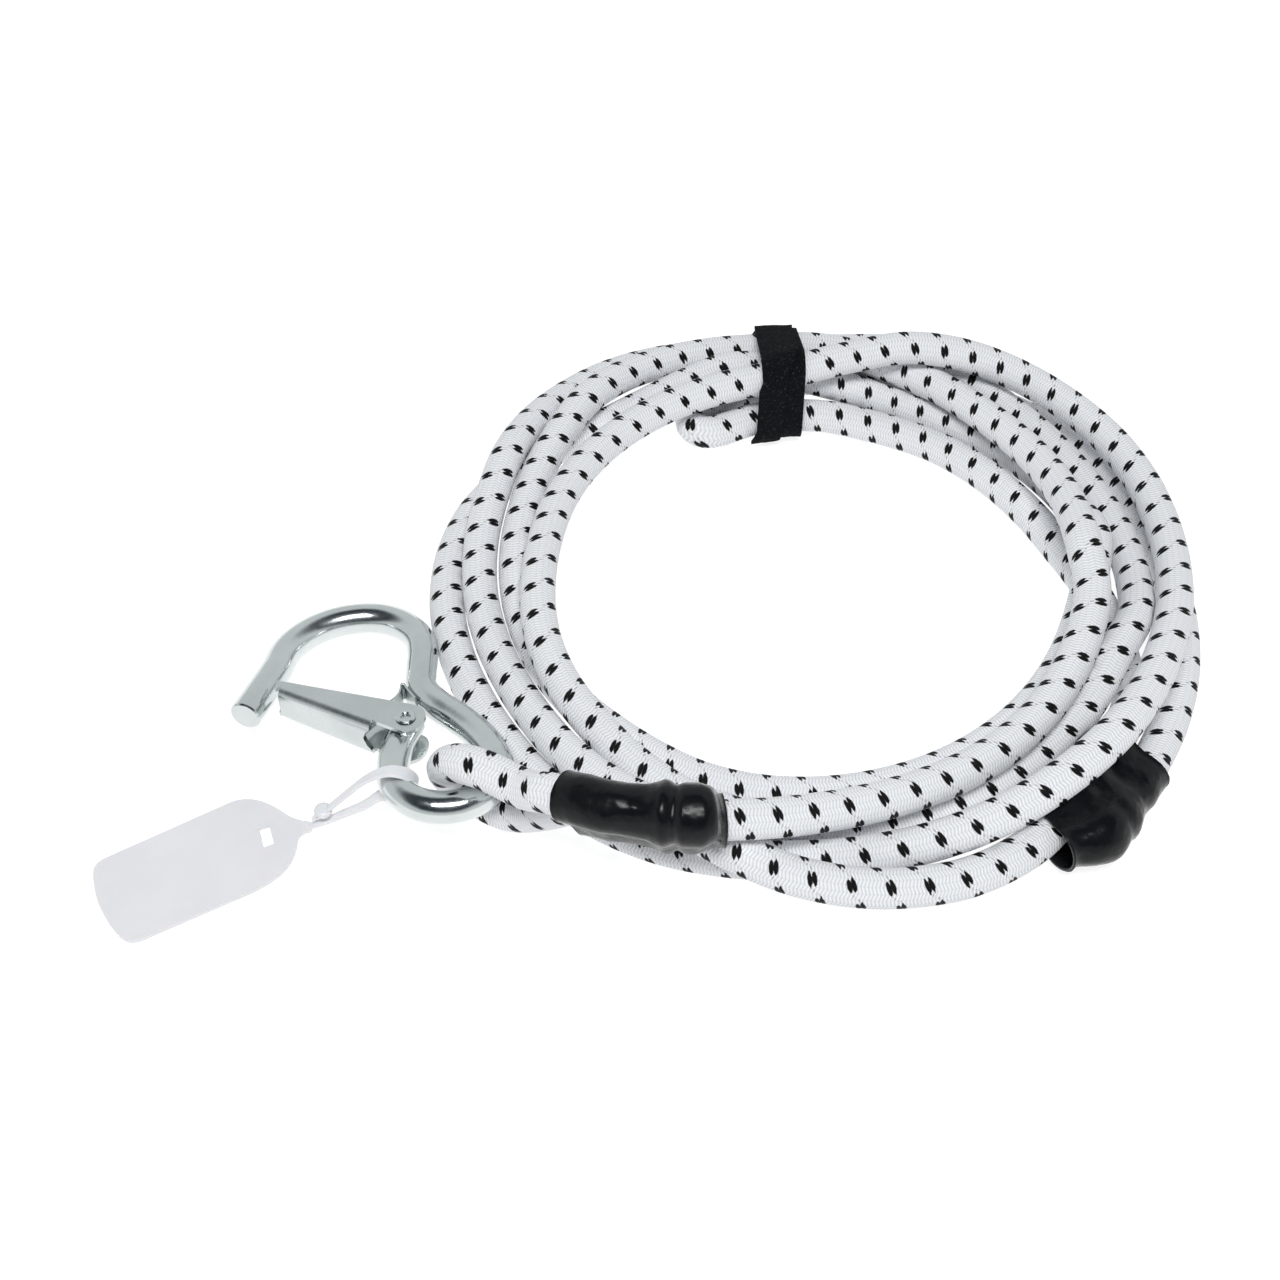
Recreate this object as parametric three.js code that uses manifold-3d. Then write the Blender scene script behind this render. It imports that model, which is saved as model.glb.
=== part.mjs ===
// A bungee dock line: an elastic cord wound in a loose coil, with a gated steel hook on one end.
// Millimetres, +Z up. The coil lies on the floor, the hook and its marker tag lie to its left.
import * as THREE from "three";
import { mergeVertices } from "three/addons/utils/BufferGeometryUtils.js";
import Module from "manifold-3d";

const wasm = await Module();
wasm.setup();

// Cord
const cordDiameter = 12;
const sheathWall = 1.8;
const cordSides = 8;
const coreSides = 6;
const seatGap = 0.3;
const cordRadius = cordDiameter / 2;
const boreRadius = cordRadius - sheathWall;
const coreRadius = boreRadius * Math.cos(Math.PI / cordSides) - seatGap;
const restFlat = cordDiameter * 0.125;

// Coil: lanes are counted outwards from its inner radius and layers up from the floor, in cords
const coilInnerRadius = 84;
const coilCentre = new THREE.Vector2(57, 24);
const strandSpacingShare = 1.05;
const stationDegrees = 5;
const tableDegrees = 30;
const settleRounds = 120;
const settlePasses = 4;
const settleSoftnessShare = 0.3;
const laneSoftnessShare = 0.4;
const spotsPerStep = 4;
const easeRounds = 40;
const easeShare = 0.5;
const easeGap = 0.5;
const easeSkipSteps = 5;

// Sleeves, clamp rings and tie
const sleeveWall = 1;
const sleeveGap = 0.55;
const ringWire = 1.6;
const ringSides = 6;
const sleeveSides = 20;
const tieWidth = 17;
const tieThickness = 1.6;
const tieAngle = 92;
const tongueThickness = 1.2;

// Hook: its own plane has u to the right and v away, and leans with its near side up
const barDiameter = 10;
const barSides = 16;
const hookLean = 10;
const hookPlace = new THREE.Vector3(-1.6, 5.4, 5.3);
const bendCentre = new THREE.Vector2(-90, -20);
const bendRadius = 20;
const flareCentre = new THREE.Vector2(-90, -27);
const flareRadius = 27;
const noseEnd = new THREE.Vector2(-123, -49);
const eyeCentre = new THREE.Vector2(-57, -72);
const eyeRadius = 16.5;
const barRadius = barDiameter / 2;

// Gate, rivet and spring
const rivetPlace = new THREE.Vector2(-70.7, -56.9);
const gateTurn = 160.6;
const gateOpening = 30;
const gateMetal = 1.4;
const gateTipHeight = 11.6;
const rivetShank = 4;
const rivetHead = 6.2;
const rivetBore = 2.4;
const rivetBoreDepth = 3;
const rivetHeadHeight = 1;
const rivetPlay = 0.25;
const springMetal = 0.7;
const springWidth = 7;

// Marker tag
const tagThickness = 1.4;
const strapWidth = 6.2;
const strapThickness = 1.2;
const strapLoopRadius = 6.8;

const overrun = 2;

// Stretches and ends
const hookMouthDrop = new THREE.Vector3(0, 2.4, -3.6);
const eyeTipSteps = 5;
const eyeTipReachShare = 0.5;
const eyeTailReach = 6;
const tailLean = new THREE.Vector3(0, -0.42, 0.91);
const pairSpacing = 13;
const hookTailDistances = [6, 12, 18, 26, 34, 41.7];
const bightStep = 5;
const bightPlaces = [
  [-29.6, -79.4, 15.2],
  [-37, -75.8, 8.8],
  [-44.5, -72, 6.4],
  [-52.5, -67.5, 9.2],
  [-58.5, -66.5, 17],
  [-56.6, -69.2, 25],
  [-50.5, -73.3, 30.5],
  [-42, -78, 32],
  [-33.5, -83, 32.2],
].map(([x, y, z]) => new THREE.Vector3(x, y, z));

// Sleeve sections: how far along, how full the bulge, how much of the tail's offset
const hookSleeveRows = [
  [0, 0, 1], [7, 0, 1], [14.4, 0, 1], [21, 0, 1], [26, 0.15, 1], [29.5, 0.9, 1],
  [32.5, 1, 1], [35.3, 0.9, 1], [38.1, 1, 1], [41, 0.95, 1], [43.5, 0.3, 0.75],
  [45.5, 0.08, 0.3], [47, 0, 0.1], [48.3, 0.08, 0.02],
];
const farSleeveRows = [
  [-59.5, 0.3, 0.42], [-57.5, 0.2, 0.55], [-55, 0.35, 0.9], [-53, 0.8, 1], [-51.5, 1, 1],
  [-50.2, 0.95, 1], [-49, 1, 1], [-47.6, 0.5, 1], [-46, 0, 1], [-43, 0, 1], [-40, 0.1, 1],
];
const hookRingDistances = [32.5, 38.1];
const farRingDegrees = [-51.5, -49];
const tieSides = 28;
const tongueFrom = 60;
const tongueTo = 250;

// Hook outline beyond its arcs
const arcStep = 22.5;
const barStep = 4.5;
const roundSides = 16;
const shankPlaces = [[-69.6, -28], [-68.5, -36], [-63.4, -42.9], [-56.8, -48.7], [-50, -55.6], [-44.3, -64]];
const eyeFromDegrees = -10;
const barEndPlaces = [[-73.1, -62], [-71.9, -56.9], [-70.6, -51.5]];

// Gate outline, from its rivet: x towards the tip, y towards the web
const gateClearance = 0.5;
const gateLength = 47;
const webStart = new THREE.Vector2(9.5, 6.8);
const webEnd = new THREE.Vector2(44, 1.9);
const gatePivotPlaces = [[1.2, -6.2], [-2.8, -5.7], [-5.1, -3.4], [-5.8, 0], [-5.1, 4.2], [-3, 6.8]];
const gateTipPlaces = [[45.6, 1.4], [47, -3.1]];
const springLegPlaces = [28, 20, 13];
const springFreePlaces = [
  [10.6, 4], [9.3, 2.8], [8.8, 1], [8.9, -2], [9.2, -8], [9.8, -13], [10.6, -15.6], [11.6, -16.6],
];

// Tag outline on the floor, and its strap
const tagPlaces = [
  [-166, -89.4], [-149.2, -116.2], [-107.8, -92.9], [-105.1, -86.6], [-105.2, -79.1],
  [-108.1, -71.8], [-115.8, -67.7], [-121.2, -65.5], [-125.2, -65.8],
];
const tagSlotPlaces = [[-117.2, -76.5], [-114.3, -75.4], [-111.8, -82], [-114.7, -83.4]];
const tagNeckPlaces = [new THREE.Vector3(-108, -76.4, 1.2), new THREE.Vector3(-102.5, -75.8, 1.7)];
const tagBump = new THREE.Vector3(-96.5, -75, 3.4);
const tagGripV = -73.5;
const strapKnot = new THREE.Vector3(4, 6.6, 3.2);
const strapLoopSteps = 9;

// Solids

function geometryOf(solid) {
  const mesh = solid.getMesh();
  const geometry = new THREE.BufferGeometry();
  const places = new Float32Array(mesh.numVert * 3);
  for (let i = 0; i < mesh.numVert; i++) {
    const from = i * mesh.numProp;
    places.set(mesh.vertProperties.subarray(from, from + 3), i * 3);
  }
  geometry.setAttribute("position", new THREE.BufferAttribute(places, 3));
  geometry.setIndex(new THREE.BufferAttribute(mesh.triVerts, 1));
  geometry.computeVertexNormals();
  return geometry;
}

function solidOf(geometry) {
  const bare = geometry.clone();
  bare.deleteAttribute("normal");
  bare.deleteAttribute("uv");
  const merged = mergeVertices(bare, 1e-4);
  return new wasm.Manifold(
    new wasm.Mesh({
      numProp: 3,
      vertProperties: merged.attributes.position.array,
      triVerts: new Uint32Array(merged.index.array),
    }),
  );
}

function cut(geometry, ...tools) {
  let solid = solidOf(geometry);
  for (const tool of tools) solid = solid.subtract(solidOf(tool));
  return geometryOf(solid);
}

function join(geometry, ...others) {
  let solid = solidOf(geometry);
  for (const other of others) solid = solid.add(solidOf(other));
  return geometryOf(solid);
}

// A closed skin through rings of points: each ring has as many points as the next
function skin(rings, closed = false) {
  const count = rings[0].length;
  const places = rings.flat().flatMap((p) => [p.x, p.y, p.z]);
  const index = [];
  const spans = closed ? rings.length : rings.length - 1;
  for (let i = 0; i < spans; i++) {
    const here = i * count;
    const next = ((i + 1) % rings.length) * count;
    for (let k = 0; k < count; k++) {
      const side = (k + 1) % count;
      index.push(here + k, here + side, next + side);
      index.push(here + k, next + side, next + k);
    }
  }
  return { places, index, count, rings: rings.length };
}

function solidSkin(rings) {
  const { places, index, count, rings: total } = skin(rings);
  const last = (total - 1) * count;
  for (let k = 1; k < count - 1; k++) {
    index.push(0, k + 1, k);
    index.push(last, last + k, last + k + 1);
  }
  return geometryFrom(places, index);
}

function hollowSkin(outer, inner) {
  const out = skin(outer);
  const within = skin(inner);
  const shift = out.places.length / 3;
  const index = [...out.index];
  for (let i = 0; i < within.index.length; i += 3) {
    const [a, b, c] = within.index.slice(i, i + 3);
    index.push(a + shift, c + shift, b + shift);
  }
  const count = out.count;
  const last = (out.rings - 1) * count;
  for (let k = 0; k < count; k++) {
    const side = (k + 1) % count;
    index.push(k, shift + side, side);
    index.push(k, shift + k, shift + side);
    index.push(last + k, last + side, shift + last + side);
    index.push(last + k, shift + last + side, shift + last + k);
  }
  return geometryFrom([...out.places, ...within.places], index);
}

function geometryFrom(places, index) {
  const geometry = new THREE.BufferGeometry();
  geometry.setAttribute("position", new THREE.Float32BufferAttribute(places, 3));
  geometry.setIndex(index);
  geometry.computeVertexNormals();
  return geometry;
}

// Frames that turn as little as they can along a line of points; the line may go on beyond it
function framesAlong(points, firstUp, beyond = {}) {
  const frames = [];
  let up = firstUp.clone();
  points.forEach((p, i) => {
    const before = points[i - 1] ?? beyond.before ?? p;
    const after = points[i + 1] ?? beyond.after ?? p;
    const ahead = after.clone().sub(before).normalize();
    up = up.clone().addScaledVector(ahead, -up.dot(ahead)).normalize();
    frames.push({ p, ahead, up, side: new THREE.Vector3().crossVectors(ahead, up) });
  });
  return frames;
}

function circleRing(frame, radius, sides) {
  const ring = [];
  for (let k = 0; k < sides; k++) {
    const turn = (2 * Math.PI * (k + 0.5)) / sides;
    ring.push(
      frame.p
        .clone()
        .addScaledVector(frame.up, radius * Math.cos(turn))
        .addScaledVector(frame.side, radius * Math.sin(turn)),
    );
  }
  return ring;
}

const UP = new THREE.Vector3(0, 0, 1);

function tube(points, radius, sides, boreRadiusHere = 0, beyond = {}) {
  const frames = framesAlong(points, UP, beyond);
  const outer = frames.map((f) => circleRing(f, radius, sides));
  if (!boreRadiusHere) return solidSkin(outer);
  return hollowSkin(outer, frames.map((f) => circleRing(f, boreRadiusHere, sides)));
}

// A smooth line through hand-set points, with even steps
function smoothLine(points, step) {
  const curve = new THREE.CatmullRomCurve3(points, false, "centripetal");
  const steps = Math.max(4, Math.round(curve.getLength() / step));
  return curve.getSpacedPoints(steps);
}

// Where the strands run: tables of lanes and layers round the coil, one value every tableDegrees
const lineTableStart = -150;
const lineStartDegrees = -125;
const lineEndDegrees = 1395;
const lineLaneShares = [
  5.3, 4, 1.95, 1.25, 1.4, 0.65, 0.95, 1.2, 1.6, 2.1, 1.6, 1.65,
  1.2, 0.95, 0.5, 0.4, 0.6, 1.05, 1.35, 1.1, 0.5, 1.2, 2.5, 3,
  3.1, 3.1, 2.55, 3.1, 2.9, 3.15, 3.6, 1.75, -0.2, 0.15, 0.4, 0.75,
  1.25, 1.8, 1.65, 1.5, 1.9, 2.25, 2.5, 2.6, 2.1, 3.2, 2.6, 2.2,
  1.85, 2.35, 3.8, 3.9, 1.6,
];
const lineLayerShares = [
  1.4, 2.7, 2, 1.4, 1.6, 2.3, 1.6, 1.5, 1.75, 1.4, 1.4, 1,
  0.5, 0.5, 0.5, 0.5, 0.8, 1.4, 0.7, 0.6, 1.7, 1.4, 0.5, 0.5,
  0.5, 0.5, 0.5, 2.2, 2.5, 1.4, 1.5, 2.4, 2.3, 1.75, 1.4, 1.5,
  1.4, 0.9, 0.6, 0.5, 1.3, 0.9, 0.5, 1.45, 0.7, 0.9, 1.5, 0.7,
  0.6, 1.7, 1.4, 0.7, 1.6,
];
const eyeTableStart = -60;
const eyeTableDegrees = 15;
const eyeEndDegrees = 110;
const innerLegStart = -40;
const outerLegStart = -50;
const outerLaneShares = [3.4, 3.5, 3.7, 3.7, 3.4, 3.4, 3.4, 3, 2.4, 1.6, 0.8, 0.75, 0.75];
const outerLayerShares = [0.6, 0.7, 0.62, 0.6, 0.5, 0.5, 0.5, 0.5, 0.5, 0.5, 0.5, 0.5, 0.5];
const innerLaneShares = [3.1, 2.8, 2.4, 1.75, 1, 0.5, 0.23, 0.1, 0.03, -0.1, -0.35, -0.5, -0.6];
const innerLayerShares = [1.3, 1.2, 0.9, 0.5, 0.5, 0.5, 0.5, 0.5, 0.5, 0.5, 0.5, 0.5, 0.5];

// How much room a strand takes inside a sleeve, compared with a bare one
const sleevedShare = (cordRadius + sleeveGap + sleeveWall) / cordRadius;
const ringedShare = sleevedShare + (ringWire + 2 * seatGap) / cordRadius;
const lineRooms = new Map([
  [-125, sleevedShare],
  [-120, sleevedShare],
  [-115, ringedShare],
  [-110, ringedShare],
  [-105, sleevedShare],
  [1380, sleevedShare],
  [1385, sleevedShare],
  [1390, ringedShare],
  [1395, sleevedShare],
]);
const legRooms = new Map([
  [-50, ringedShare],
  [-45, sleevedShare],
  [-40, sleevedShare],
]);

function tableAt(shares, start, step, degrees) {
  const place = (degrees - start) / step;
  const i = Math.min(Math.max(Math.floor(place), 0), shares.length - 2);
  const t = place - i;
  const [p0, p1, p2, p3] = [i - 1, i, i + 1, i + 2].map(
    (k) => shares[Math.min(Math.max(k, 0), shares.length - 1)],
  );
  const bend = 2 * p0 - 5 * p1 + 4 * p2 - p3 + t * (3 * (p1 - p2) + p3 - p0);
  return p1 + 0.5 * t * (p2 - p0 + t * bend);
}

function strandStations(lanes, layers, rooms, start, step, from, to) {
  const stations = [];
  for (let degrees = from; degrees <= to; degrees += stationDegrees) {
    const lane = tableAt(lanes, start, step, degrees);
    const layer = tableAt(layers, start, step, degrees);
    stations.push({ degrees, lane, layer, room: rooms.get(degrees) ?? 1 });
  }
  return stations;
}

// The tie runs beneath the strands, so they lie a little higher there
function floorShareAt(degrees, room) {
  const off = Math.abs(((((degrees - tieAngle + 180) % 360) + 360) % 360) - 180);
  const rise = (tieThickness + 3 * seatGap + restFlat) / cordDiameter;
  const lift = Math.max(0, 1 - Math.max(0, off - 2 * stationDegrees) / tableDegrees);
  const sleeveRise = room > 1 ? (restFlat + seatGap) / cordDiameter : 0;
  return 0.5 * room + Math.max(rise * lift, sleeveRise);
}

// Strands that meet at one station are pushed apart until they lie beside or on each other
function settle(strands) {
  const groups = new Map();
  for (const station of strands.flat()) {
    const key = ((station.degrees % 360) + 360) % 360;
    if (!groups.has(key)) groups.set(key, []);
    groups.get(key).push(station);
  }
  for (let round = 0; round < settleRounds; round++) {
    const softness = settleSoftnessShare * (1 - round / settleRounds);
    for (const strand of strands) smoothStrand(strand, softness);
    for (let pass = 0; pass < settlePasses; pass++) {
      for (const group of groups.values()) pushApart(group);
    }
  }
}

function smoothStrand(strand, softness) {
  const was = strand.map((s) => ({ ...s }));
  for (let i = 1; i < strand.length - 1; i++) {
    const lane = (was[i - 1].lane + was[i + 1].lane) / 2 - was[i].lane;
    const layer = (was[i - 1].layer + was[i + 1].layer) / 2 - was[i].layer;
    strand[i].lane += laneSoftnessShare * softness * lane;
    strand[i].layer += softness * layer;
  }
}

function pushApart(group) {
  for (let a = 0; a < group.length; a++) {
    for (let b = a + 1; b < group.length; b++) {
      const [one, two] = [group[a], group[b]];
      const lane = two.lane - one.lane;
      const layer = two.layer - one.layer;
      const apart = Math.hypot(lane, layer);
      const room = one.room > 1 && two.room > 1 ? 1 : (one.room + two.room) / 2;
      const wanted = strandSpacingShare * room;
      if (apart >= wanted) continue;
      const push = (0.5 * (wanted - apart)) / Math.max(apart, 1e-6);
      one.lane -= push * lane;
      two.lane += push * lane;
      one.layer -= push * layer;
      two.layer += push * layer;
    }
  }
  for (const s of group) s.layer = Math.max(s.layer, floorShareAt(s.degrees, s.room));
}

function coilPoint(degrees, lane, layer) {
  const turn = THREE.MathUtils.degToRad(degrees);
  const radius = coilInnerRadius + lane * cordDiameter;
  return new THREE.Vector3(
    coilCentre.x + radius * Math.cos(turn),
    coilCentre.y + radius * Math.sin(turn),
    layer * cordDiameter - restFlat,
  );
}

const lineStations = strandStations(
  lineLaneShares, lineLayerShares, lineRooms, lineTableStart, tableDegrees,
  lineStartDegrees, lineEndDegrees,
);
const outerStations = strandStations(
  outerLaneShares, outerLayerShares, legRooms, eyeTableStart, eyeTableDegrees,
  outerLegStart, eyeEndDegrees,
);
const innerStations = strandStations(
  innerLaneShares, innerLayerShares, legRooms, eyeTableStart, eyeTableDegrees,
  innerLegStart, eyeEndDegrees,
);
settle([lineStations, outerStations, innerStations]);
const stationPoint = (s) => coilPoint(s.degrees, s.lane, s.layer);


// The three stretches of cord: the coil, the far eye and the bight through the hook
// Every second station is enough outside the sleeves
function thinned(points, keepFirst, keepLast) {
  const last = points.length - 1;
  return points.filter((p, i) => i <= keepFirst || i >= last - keepLast || i % 2 === 0);
}

// Places between the points of some strands, each with its share of the way along its step
function spotsOf(strands) {
  const spots = [];
  strands.forEach((points, strand) => {
    for (let i = 1; i < points.length; i++) {
      for (let k = 0; k < spotsPerStep; k++) {
        const share = k / spotsPerStep;
        spots.push({ strand, i, share, place: points[i - 1].clone().lerp(points[i], share) });
      }
    }
  });
  return spots;
}

// Where strands cross between stations they are eased apart in space, never downwards
function easeApart(strands) {
  const lowest = strands.map((points) => points.map((p) => p.z));
  for (let round = 0; round < easeRounds; round++) {
    const spots = spotsOf(strands);
    for (let a = 0; a < spots.length; a++) {
      for (let b = a + 1; b < spots.length; b++) {
        const [one, two] = [spots[a], spots[b]];
        if (one.strand === two.strand && two.i - one.i < easeSkipSteps) continue;
        const apart = two.place.clone().sub(one.place);
        const room = cordDiameter + easeGap - apart.length();
        if (room <= 0) continue;
        apart.setLength(0.5 * easeShare * room);
        for (const [spot, sign] of [[one, -1], [two, 1]]) {
          const points = strands[spot.strand];
          points[spot.i - 1].addScaledVector(apart, sign * (1 - spot.share));
          points[spot.i].addScaledVector(apart, sign * spot.share);
        }
      }
    }
    strands.forEach((points, n) => points.forEach((p, i) => (p.z = Math.max(p.z, lowest[n][i]))));
  }
}

const linePoints = thinned(lineStations.map(stationPoint), 6, 5);
const innerPoints = thinned(innerStations.map(stationPoint), 2, 0);
const outerPoints = thinned(outerStations.map(stationPoint), 2, 0);
const lineEnds = linePoints.splice(-1);
easeApart([linePoints, innerPoints, outerPoints]);
linePoints.push(...lineEnds);

function stepBack(from, towards, distance) {
  return from.clone().add(towards.clone().sub(from).setLength(distance));
}

const hookMouth = linePoints[0].clone().add(hookMouthDrop);
const coilPoints = linePoints.slice(1);

function eyeTip(inner, outer) {
  const middle = inner.clone().add(outer).multiplyScalar(0.5);
  const across = outer.clone().sub(inner).multiplyScalar(0.5);
  const ahead = new THREE.Vector3().crossVectors(across, UP).setLength(across.length()).negate();
  const points = [];
  for (let step = 0; step <= eyeTipSteps; step++) {
    const turn = (Math.PI * step) / eyeTipSteps;
    points.push(
      middle
        .clone()
        .addScaledVector(across, -Math.cos(turn))
        .addScaledVector(ahead, Math.sin(turn) + eyeTipReachShare),
    );
  }
  return points;
}

const coilEnd = coilPoints.at(-1);
const tailEnd = stepBack(outerPoints[0], outerPoints[1], -eyeTailReach);
const eyePoints = [
  stepBack(coilEnd, innerPoints[0], seatGap),
  ...innerPoints,
  ...eyeTip(innerPoints.at(-1), outerPoints.at(-1)),
  ...outerPoints.toReversed(),
  tailEnd,
];

// The tail lies on the line inside the sleeve by the hook
const sleeveLine = [hookMouth, ...linePoints.slice(1, 7)];

function placeAlong(points, distance) {
  let left = distance;
  for (let i = 0; i < points.length - 1; i++) {
    const step = points[i + 1].clone().sub(points[i]);
    if (left <= step.length() || i === points.length - 2) {
      const ahead = step.clone().normalize();
      return { p: points[i].clone().addScaledVector(ahead, left), ahead };
    }
    left -= step.length();
  }
}

function tailPlace(distance) {
  const { p, ahead } = placeAlong(sleeveLine, distance);
  const off = tailLean.clone().addScaledVector(ahead, -tailLean.dot(ahead)).setLength(pairSpacing);
  return p.add(off);
}

const bightPoints = [
  stepBack(linePoints[1], hookMouth, seatGap),
  ...smoothLine([hookMouth, ...bightPlaces, tailPlace(0)], bightStep),
  ...hookTailDistances.map(tailPlace),
];

// The least room between any two places of one cord that are a few diameters apart along it
function leastGap(points) {
  const fine = [];
  points.forEach((p, i) => {
    if (!i) return;
    for (let k = 0; k < 4; k++) fine.push(points[i - 1].clone().lerp(p, k / 4));
  });
  let least = Infinity;
  for (let a = 0; a < fine.length; a++) {
    let along = 0;
    for (let b = a + 1; b < fine.length; b++) {
      along += fine[b].distanceTo(fine[b - 1]);
      if (along < 3 * cordDiameter) continue;
      least = Math.min(least, fine[a].distanceTo(fine[b]) - cordDiameter);
    }
  }
  return least;
}

const floorBox = new THREE.BoxGeometry(1000, 1000, 50).translate(0, 0, -25);
const sheath = ({ points, beyond }) =>
  cut(tube(points, cordRadius, cordSides, boreRadius, beyond), floorBox);
const core = ({ points, beyond }) => tube(points, coreRadius, coreSides, 0, beyond);
const stretches = {
  coil: { points: coilPoints, beyond: { before: hookMouth, after: innerPoints[0] } },
  bight: { points: bightPoints, beyond: { before: coilPoints[1] } },
  eye: { points: eyePoints, beyond: { before: coilPoints.at(-2) } },
};

// Sleeves and clamp rings run round two strands at once
function pairSection(one, two, ahead, lean) {
  const up = lean.clone().addScaledVector(ahead, -lean.dot(ahead)).normalize();
  return { one, two, ahead, up, side: new THREE.Vector3().crossVectors(ahead, up) };
}

function pairRing(section, radius, sides = sleeveSides) {
  const ring = [];
  for (let k = 0; k < sides; k++) {
    const turn = (2 * Math.PI * (k + 0.5)) / sides;
    const centre = Math.cos(turn) > 0 ? section.two : section.one;
    ring.push(
      centre
        .clone()
        .addScaledVector(section.up, radius * Math.cos(turn))
        .addScaledVector(section.side, radius * Math.sin(turn)),
    );
  }
  return ring;
}

const snugRadius = cordRadius + sleeveGap;
const ringSeat = cordRadius + 1.5 * seatGap;
const bulgeRadius = ringSeat + ringWire + seatGap;
const sleeveRadius = (s) => snugRadius + s.bulge * (bulgeRadius - snugRadius);

function pairSleeve(sections) {
  const inner = sections.map((s) => {
    return pairRing(s, sleeveRadius(s));
  });
  const outer = sections.map((s) => {
    return pairRing(s, sleeveRadius(s) + sleeveWall);
  });
  return hollowSkin(outer, inner);
}

function clampRing(section) {
  const centres = pairRing(section, ringSeat + ringWire / 2);
  const inner = pairRing(section, ringSeat);
  const rings = centres.map((centre, k) => {
    const out = centre.clone().sub(inner[k]);
    const ring = [];
    for (let m = 0; m < ringSides; m++) {
      const turn = (2 * Math.PI * m) / ringSides;
      ring.push(
        centre
          .clone()
          .addScaledVector(out, Math.cos(turn))
          .addScaledVector(section.ahead, (-Math.sin(turn) * ringWire) / 2),
      );
    }
    return ring;
  });
  const { places, index } = skin(rings, true);
  return geometryFrom(places, index);
}

function hookSleeveSection([distance, bulge, tailShare]) {
  const { p, ahead } = placeAlong(sleeveLine, distance);
  const two = p.clone().lerp(tailPlace(distance), tailShare);
  return { ...pairSection(p, two, ahead, tailLean), bulge };
}

// The far sleeve is cut by planes through the coil's axis
const farLine = [...linePoints.slice(-6), ...innerPoints.slice(0, 3)];
const farTail = [tailEnd, ...outerPoints.slice(0, 4)];

function atDegrees(points, degrees) {
  const turn = THREE.MathUtils.degToRad(degrees);
  const ahead = new THREE.Vector3(-Math.sin(turn), Math.cos(turn), 0);
  const off = (p) => (p.x - coilCentre.x) * ahead.x + (p.y - coilCentre.y) * ahead.y;
  let i = 0;
  while (i < points.length - 2 && off(points[i + 1]) < 0) i++;
  const [a, b] = [off(points[i]), off(points[i + 1])];
  return { p: points[i].clone().lerp(points[i + 1], -a / (b - a)), ahead };
}

function farSleeveSection([degrees, bulge, tailShare]) {
  const { p, ahead } = atDegrees(farLine, degrees);
  const tail = atDegrees(farTail, degrees).p;
  const lean = tail.clone().sub(p);
  return { ...pairSection(p, p.clone().lerp(tail, tailShare), ahead, lean), bulge };
}

// The tie is a band round all the strands, with its free tongue lying on top of it
function tieSection(offset) {
  const turn = THREE.MathUtils.degToRad(tieAngle);
  const ahead = new THREE.Vector3(-Math.sin(turn), Math.cos(turn), 0);
  const out = new THREE.Vector3(Math.cos(turn), Math.sin(turn), 0);
  const middle = new THREE.Vector3(coilCentre.x, coilCentre.y, 0).addScaledVector(ahead, offset);
  const centres = [];
  for (const points of [coilPoints, eyePoints]) {
    for (let i = 0; i < points.length - 1; i++) {
      const a = points[i].clone().sub(middle);
      const b = points[i + 1].clone().sub(middle);
      if (a.dot(out) < 0 || a.dot(ahead) * b.dot(ahead) > 0) continue;
      centres.push(a.lerp(b, a.dot(ahead) / (a.dot(ahead) - b.dot(ahead))));
    }
  }
  const ringAt = (radiusAt) => {
    const ring = [];
    for (let k = 0; k < tieSides; k++) {
      const angle = 360 - (360 * (k + 0.5)) / tieSides;
      const a = THREE.MathUtils.degToRad(angle);
      const way = out.clone().multiplyScalar(Math.cos(a)).addScaledVector(UP, Math.sin(a));
      const far = centres.reduce((best, c) => (c.dot(way) > best.dot(way) ? c : best));
      ring.push(far.clone().add(middle).addScaledVector(way, radiusAt(angle)));
    }
    return ring;
  };
  const seat = cordRadius + 2 * seatGap;
  const onTongue = (angle) => angle > tongueFrom && angle < tongueTo;
  return {
    inner: ringAt(() => seat),
    outer: ringAt((a) => seat + tieThickness + (onTongue(a) ? tongueThickness : 0)),
  };
}

function makeTie() {
  const sections = [-0.5, -0.25, 0, 0.25, 0.5].map((share) => tieSection(share * tieWidth));
  return hollowSkin(sections.map((s) => s.outer), sections.map((s) => s.inner));
}

// Flat outlines drawn in a plane and given a height, which may change along the outline
function prism(outline, halfHeightAt) {
  const contour = outline.map(([x, y]) => new THREE.Vector2(x, y));
  if (THREE.ShapeUtils.isClockWise(contour)) contour.reverse();
  const count = contour.length;
  const places = [];
  for (const side of [-1, 1]) {
    for (const c of contour) places.push(c.x, c.y, side * halfHeightAt(c.x));
  }
  const index = [];
  for (const [a, b, c] of THREE.ShapeUtils.triangulateShape(contour, [])) {
    index.push(a, c, b, count + a, count + b, count + c);
  }
  for (let k = 0; k < count; k++) {
    const next = (k + 1) % count;
    index.push(k, next, count + next, k, count + next, count + k);
  }
  return geometryFrom(places, index);
}

function arc(centre, radius, from, to, step) {
  const points = [];
  const steps = Math.round(Math.abs(to - from) / step);
  for (let i = 0; i <= steps; i++) {
    const turn = THREE.MathUtils.degToRad(from + ((to - from) * i) / steps);
    points.push([centre.x + radius * Math.cos(turn), centre.y + radius * Math.sin(turn)]);
  }
  return points;
}

// Hook: the bar's middle line in the hook's own plane
const lean = THREE.MathUtils.degToRad(hookLean);
const hookMatrix = new THREE.Matrix4()
  .makeBasis(
    new THREE.Vector3(1, 0, 0),
    new THREE.Vector3(0, Math.cos(lean), -Math.sin(lean)),
    new THREE.Vector3(0, Math.sin(lean), Math.cos(lean)),
  )
  .setPosition(hookPlace);
const hookSpot = (u, v, n = 0) => new THREE.Vector3(u, v, n).applyMatrix4(hookMatrix);

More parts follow.
